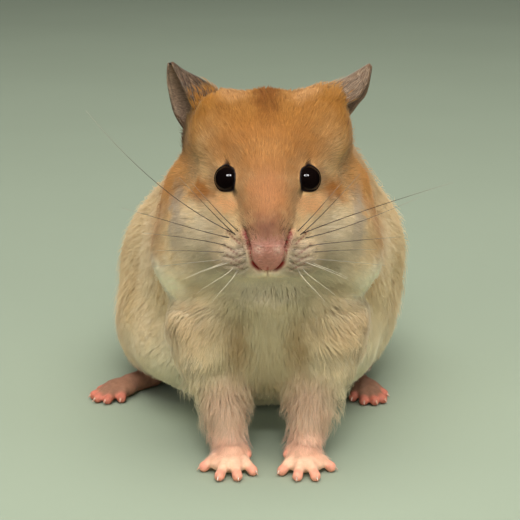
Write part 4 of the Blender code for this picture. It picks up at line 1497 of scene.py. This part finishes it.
# %% Coat finishes
def coat_material(name, root_shade, tip_shade, variety, roughness, sheen, clear, plain=None):
    made, tree_of_nodes, shader = new_material(
        name, Roughness=roughness, Sheen_Weight=sheen, Sheen_Roughness=0.5, Specular_IOR_Level=0.08,
        Subsurface_Weight=clear, Subsurface_Radius=(1.0, 0.7, 0.5), Subsurface_Scale=0.001)
    hair = node(tree_of_nodes, "ShaderNodeGroup", (-600, 0), {
        "Marking": plain or use_markings(tree_of_nodes),
        "Along": attribute(tree_of_nodes, "along"),
        "Tone": attribute(tree_of_nodes, "tone", (-900, -500)),
        "Root": root_shade, "Tip": tip_shade, "Variety": variety}, node_tree=hair_shade)
    tree_of_nodes.links.new(hair.outputs["Colour"], shader.inputs["Base Color"])
    return made


coat_finish = {
    "coat_gold": coat_material("golden coat", 0.92, 1.05, 0.42, 0.7, 0.06, 0.3),
    "coat_cream": coat_material("cream coat", 0.93, 1.04, 0.28, 0.7, 0.06, 0.3),
    "ear_grey": coat_material("ear down", 0.75, 1.2, 0.8, 0.6, 0.06, 0.2, srgb(150, 126, 102)),
}

# %% Skin finish
SKIN_TINTS = [  # (mask, colour, strength): each lies over the ones before it
    ("toe_pads", srgb(222, 122, 100), 0.6), ("ear_inside", srgb(146, 120, 98), 1.0),
    ("ear_back", srgb(108, 78, 54), 1.0), ("bare", srgb(174, 118, 101), 1.0),
    # crease: dark red, partly the skin's own colour and partly painted shade in the nose crease, the
    # nostrils, the lip cleft and the mouth
    ("pad_light", srgb(214, 180, 158), 0.8), ("crease", srgb(136, 32, 32), 1.0),
    ("dots", srgb(104, 44, 38), 0.9), ("lid", srgb(16, 9, 9), 1.0),
]


def skin_material():
    made, tree_of_nodes, shader = new_material(
        "skin", Roughness=0.6, Specular_IOR_Level=0.1, Subsurface_Weight=0.12,
        Subsurface_Radius=(1.0, 0.4, 0.25), Subsurface_Scale=0.0008)
    colour = use_markings(tree_of_nodes, 0.6)
    for name, tint, strength in SKIN_TINTS:
        amount = plain_math(
            tree_of_nodes, "MULTIPLY", (-700, -300), attribute(tree_of_nodes, name), strength)
        cover = node(tree_of_nodes, "ShaderNodeMix", (-500, 0), {
            "Factor": amount, "A": colour, "B": tint}, data_type="RGBA", label=name)
        colour = cover.outputs["Result"]
    spot = object_place(tree_of_nodes, (-1300, -500))
    mottle = node(tree_of_nodes, "ShaderNodeTexNoise", (-1100, -500), {
        "Vector": spot, "Scale": 900.0, "Detail": 4.0})
    flush = node(tree_of_nodes, "ShaderNodeMapRange", (-700, -600), {
        "Value": mottle.outputs["Fac"], "From Min": 0.3, "From Max": 0.7,
        "To Min": 0.84, "To Max": 1.1})
    flushed = vector_math(tree_of_nodes, "SCALE", (-250, 0), {
        0: colour, "Scale": flush.outputs["Result"]})
    pores = node(tree_of_nodes, "ShaderNodeTexVoronoi", (-700, -900), {
        "Vector": spot, "Scale": 3200.0})
    bump = node(tree_of_nodes, "ShaderNodeBump", (-250, -600), {
        "Height": pores.outputs["Distance"], "Strength": 0.35, "Distance": 0.00012})
    tree_of_nodes.links.new(flushed, shader.inputs["Base Color"])
    tree_of_nodes.links.new(bump.outputs["Normal"], shader.inputs["Normal"])
    return made


skin_finish = skin_material()

# %% Eye, claw and whisker finishes
eye_finish = mottled_material(
    "eye", 700.0, (0.0015, 0.001, 0.001, 1), (0.006, 0.003, 0.0025, 1),
    Roughness=0.03, IOR=1.4, Specular_IOR_Level=0.22)
claw_finish = mottled_material(
    "claw horn", 2500.0, srgb(176, 120, 96), srgb(226, 186, 158),
    Roughness=0.32, Subsurface_Weight=0.2, Subsurface_Scale=0.0004)
whisker_finish, whisker_nodes, whisker_shader = new_material(
    "whisker", Roughness=0.55, Specular_IOR_Level=0.2)
ramp_colour(whisker_nodes, whisker_shader, attribute(whisker_nodes, "shade"),
            srgb(56, 38, 22), srgb(236, 222, 196))
print("finishes:", len(bpy.data.materials))

# %% [markdown]
# ## Masks on the skin
# Where a crease, a lid or bare skin runs is known from the modelling above, so each is written on
# the skin as a mask for its finish to read.

# %% Write the masks
def write_skin_mask(name, values):
    write_mask(skin.data, name, np.clip(values, 0, 1))


grain = np.array([noise.noise(Vector(place) * 3.4) for place in skin_points.tolist()])
broken = np.clip(0.75 + 1.1 * grain, 0.2, 1.3)
# the crease mask: dark red, partly the skin's own colour and partly painted shade down in the
# creases, the nostrils and the mouth
write_skin_mask("crease", np.maximum.reduce([
    u_crease * 0.85 * broken, u_foot * 1.1, nostril * 1.2 * broken, cleft * 0.6, mouth * 0.8]))
pad_light = np.exp(-((skin_folded[:, 0] - 1.9) / 0.9) ** 2
                   - ((skin_folded[:, 2] - 48.3) / 0.9) ** 2)
write_skin_mask("pad_light", pad_light * nose_pad * (0.7 + 1.2 * grain))
flecks = 0.8 * flecked(skin_points) * smooth_step((grain - 0.05) / 0.2)
write_skin_mask("dots", np.maximum(whisker_dots(skin_points), flecks))
write_skin_mask("lid", lid)
write_skin_mask("bare", np.maximum(nose_pad, snout_bare * 0.25))
ear_inside, ear_back, toe_pads = np.zeros((3, len(skin_points)))
for side in (1, -1):
    on_ear, share, outside_ear, front_side = on_ear_outside(skin_points, skin_normals, side)
    ear_inside += on_ear & ~outside_ear
    ear_back += on_ear & outside_ear & (~front_side | (share > GOLD_SHARE[side] - 0.04))
write_skin_mask("ear_inside", ear_inside)
write_skin_mask("ear_back", ear_back)
for _, tip_place, direction, thick, _ in toe_tips:
    away = np.linalg.norm(skin_points - np.array(tip_place + direction * 0.4), axis=1)
    toe_pads = np.maximum(toe_pads, smooth_step((thick * 1.9 - away) / thick))
write_skin_mask("toe_pads", toe_pads)

# %% [markdown]
# ## Put the animal together
# Every piece moves from the nose's millimetres to the frame's metres, rides on the frame's one
# body, and stands in for the plain solids that it dresses.

# %% Place, dress and attach
skin.name = "skin"
shade_smooth(skin)
pieces = [(skin, skin_finish, "bare_pink")]
pieces += [(ball, eye_finish, "eye_black") for ball, _ in eye_balls]
pieces += [(piece, claw_finish, "claw_horn") for piece in claws.values()]
pieces += [(piece, whisker_finish, "coat_cream") for piece in whiskers]
pieces += [(piece, coat_finish[finish], finish) for piece, finish in coat]
for piece, finish, slot in pieces:
    placed(piece)
    piece.data.materials.clear()
    piece.data.materials.append(finish)
    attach(piece, "root")
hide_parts(*BODY_NODES, *PAW_NODES, *EAR_NODES)
for ball, cad_name in eye_balls:
    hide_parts(cad_name)
for (kind, label), piece in claws.items():
    first = 2 if kind == "fore" else 1  # the thumb, toe 1 of a forepaw, has no claw
    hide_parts(*[f"claw_{kind}_{label}_{i}" for i in range(first, 6)])
print("pieces:", len(pieces))

# %% [markdown]
# ## Floor, light and camera
# A pale grey-green sheet, a big soft light overhead, fills in front and at the sides, a catch light
# that gives each eye its one highlight and lights nothing else, and a camera a little above the
# animal's head, looking slightly down.

# %% Stage
FLOOR_SIZE = 3.0
floor_finish = mottled_material(
    "floor paper", 6.0, srgb(146, 156, 134), srgb(154, 164, 142), detail=3.0,
    Roughness=0.9, Specular_IOR_Level=0.1)
clay = bmesh.new()
bmesh.ops.create_grid(clay, x_segments=1, y_segments=1, size=FLOOR_SIZE / 2)
floor = mesh_object("floor", clay)
floor.data.materials.append(floor_finish)
floor.visible_glossy = False  # the wet eyes stay black, with no pale floor in them

# %% Lights
def area_light(name, place, aim, size, power, glossy=True):
    lamp = bpy.data.lights.new(name, "AREA")
    lamp.shape = "RECTANGLE"
    lamp.size, lamp.size_y = size
    lamp.energy = power
    made = bpy.data.objects.new(name, lamp)
    bpy.context.scene.collection.objects.link(made)
    made.location = place
    made.rotation_euler = (Vector(aim) - Vector(place)).to_track_quat("-Z", "Y").to_euler()
    made.visible_glossy = glossy
    return made


MIDDLE = (0.0, 0.0, 0.04)
area_light("top softbox", (0.05, -0.10, 0.95), MIDDLE, (1.0, 1.0), 11.0, glossy=False)
area_light("front sheet", (0.0, -0.85, 0.50), MIDDLE, (0.9, 0.6), 1.5, glossy=False)
area_light("front softbox", (0.0, -0.42, 0.40), (0, -0.05, 0.05), (0.20, 0.07), 1.1, glossy=False)
catch_light = area_light("catch light", (0.0, -0.42, 0.40), (0, -0.05, 0.05), (0.30, 0.11), 10.0)
catch_light.visible_diffuse = False  # it only glints in the eyes
catch_light.visible_transmission = False
area_light("left fill", (0.55, -0.55, 0.25), MIDDLE, (0.5, 0.5), 1.3, glossy=False)
area_light("right fill", (-0.55, -0.55, 0.25), MIDDLE, (0.5, 0.5), 1.3, glossy=False)
world = bpy.data.worlds.new("studio")
world.use_nodes = True
sky = world.node_tree.nodes["Background"]
sky.inputs["Color"].default_value = (0.95, 0.97, 1.0, 1)
sky.inputs["Strength"].default_value = 0.22
world.cycles_visibility.glossy = False
bpy.context.scene.world = world
bpy.context.scene.view_settings.view_transform = "Standard"

# %% Camera
CAMERA_PLACE = (-1.5, -289.8, 123.8)  # millimetres from the nose
CAMERA_DOWN = 15.0
camera_data = bpy.data.cameras.new("camera")
camera_data.sensor_width = 36.0
camera_data.lens = 108.0
camera_data.clip_start = 0.01
camera = bpy.data.objects.new("camera", camera_data)
bpy.context.scene.collection.objects.link(camera)
camera.location = TO_WORLD @ Vector(CAMERA_PLACE)
camera.rotation_euler = (math.radians(90 - CAMERA_DOWN), 0, 0)
bpy.context.scene.camera = camera
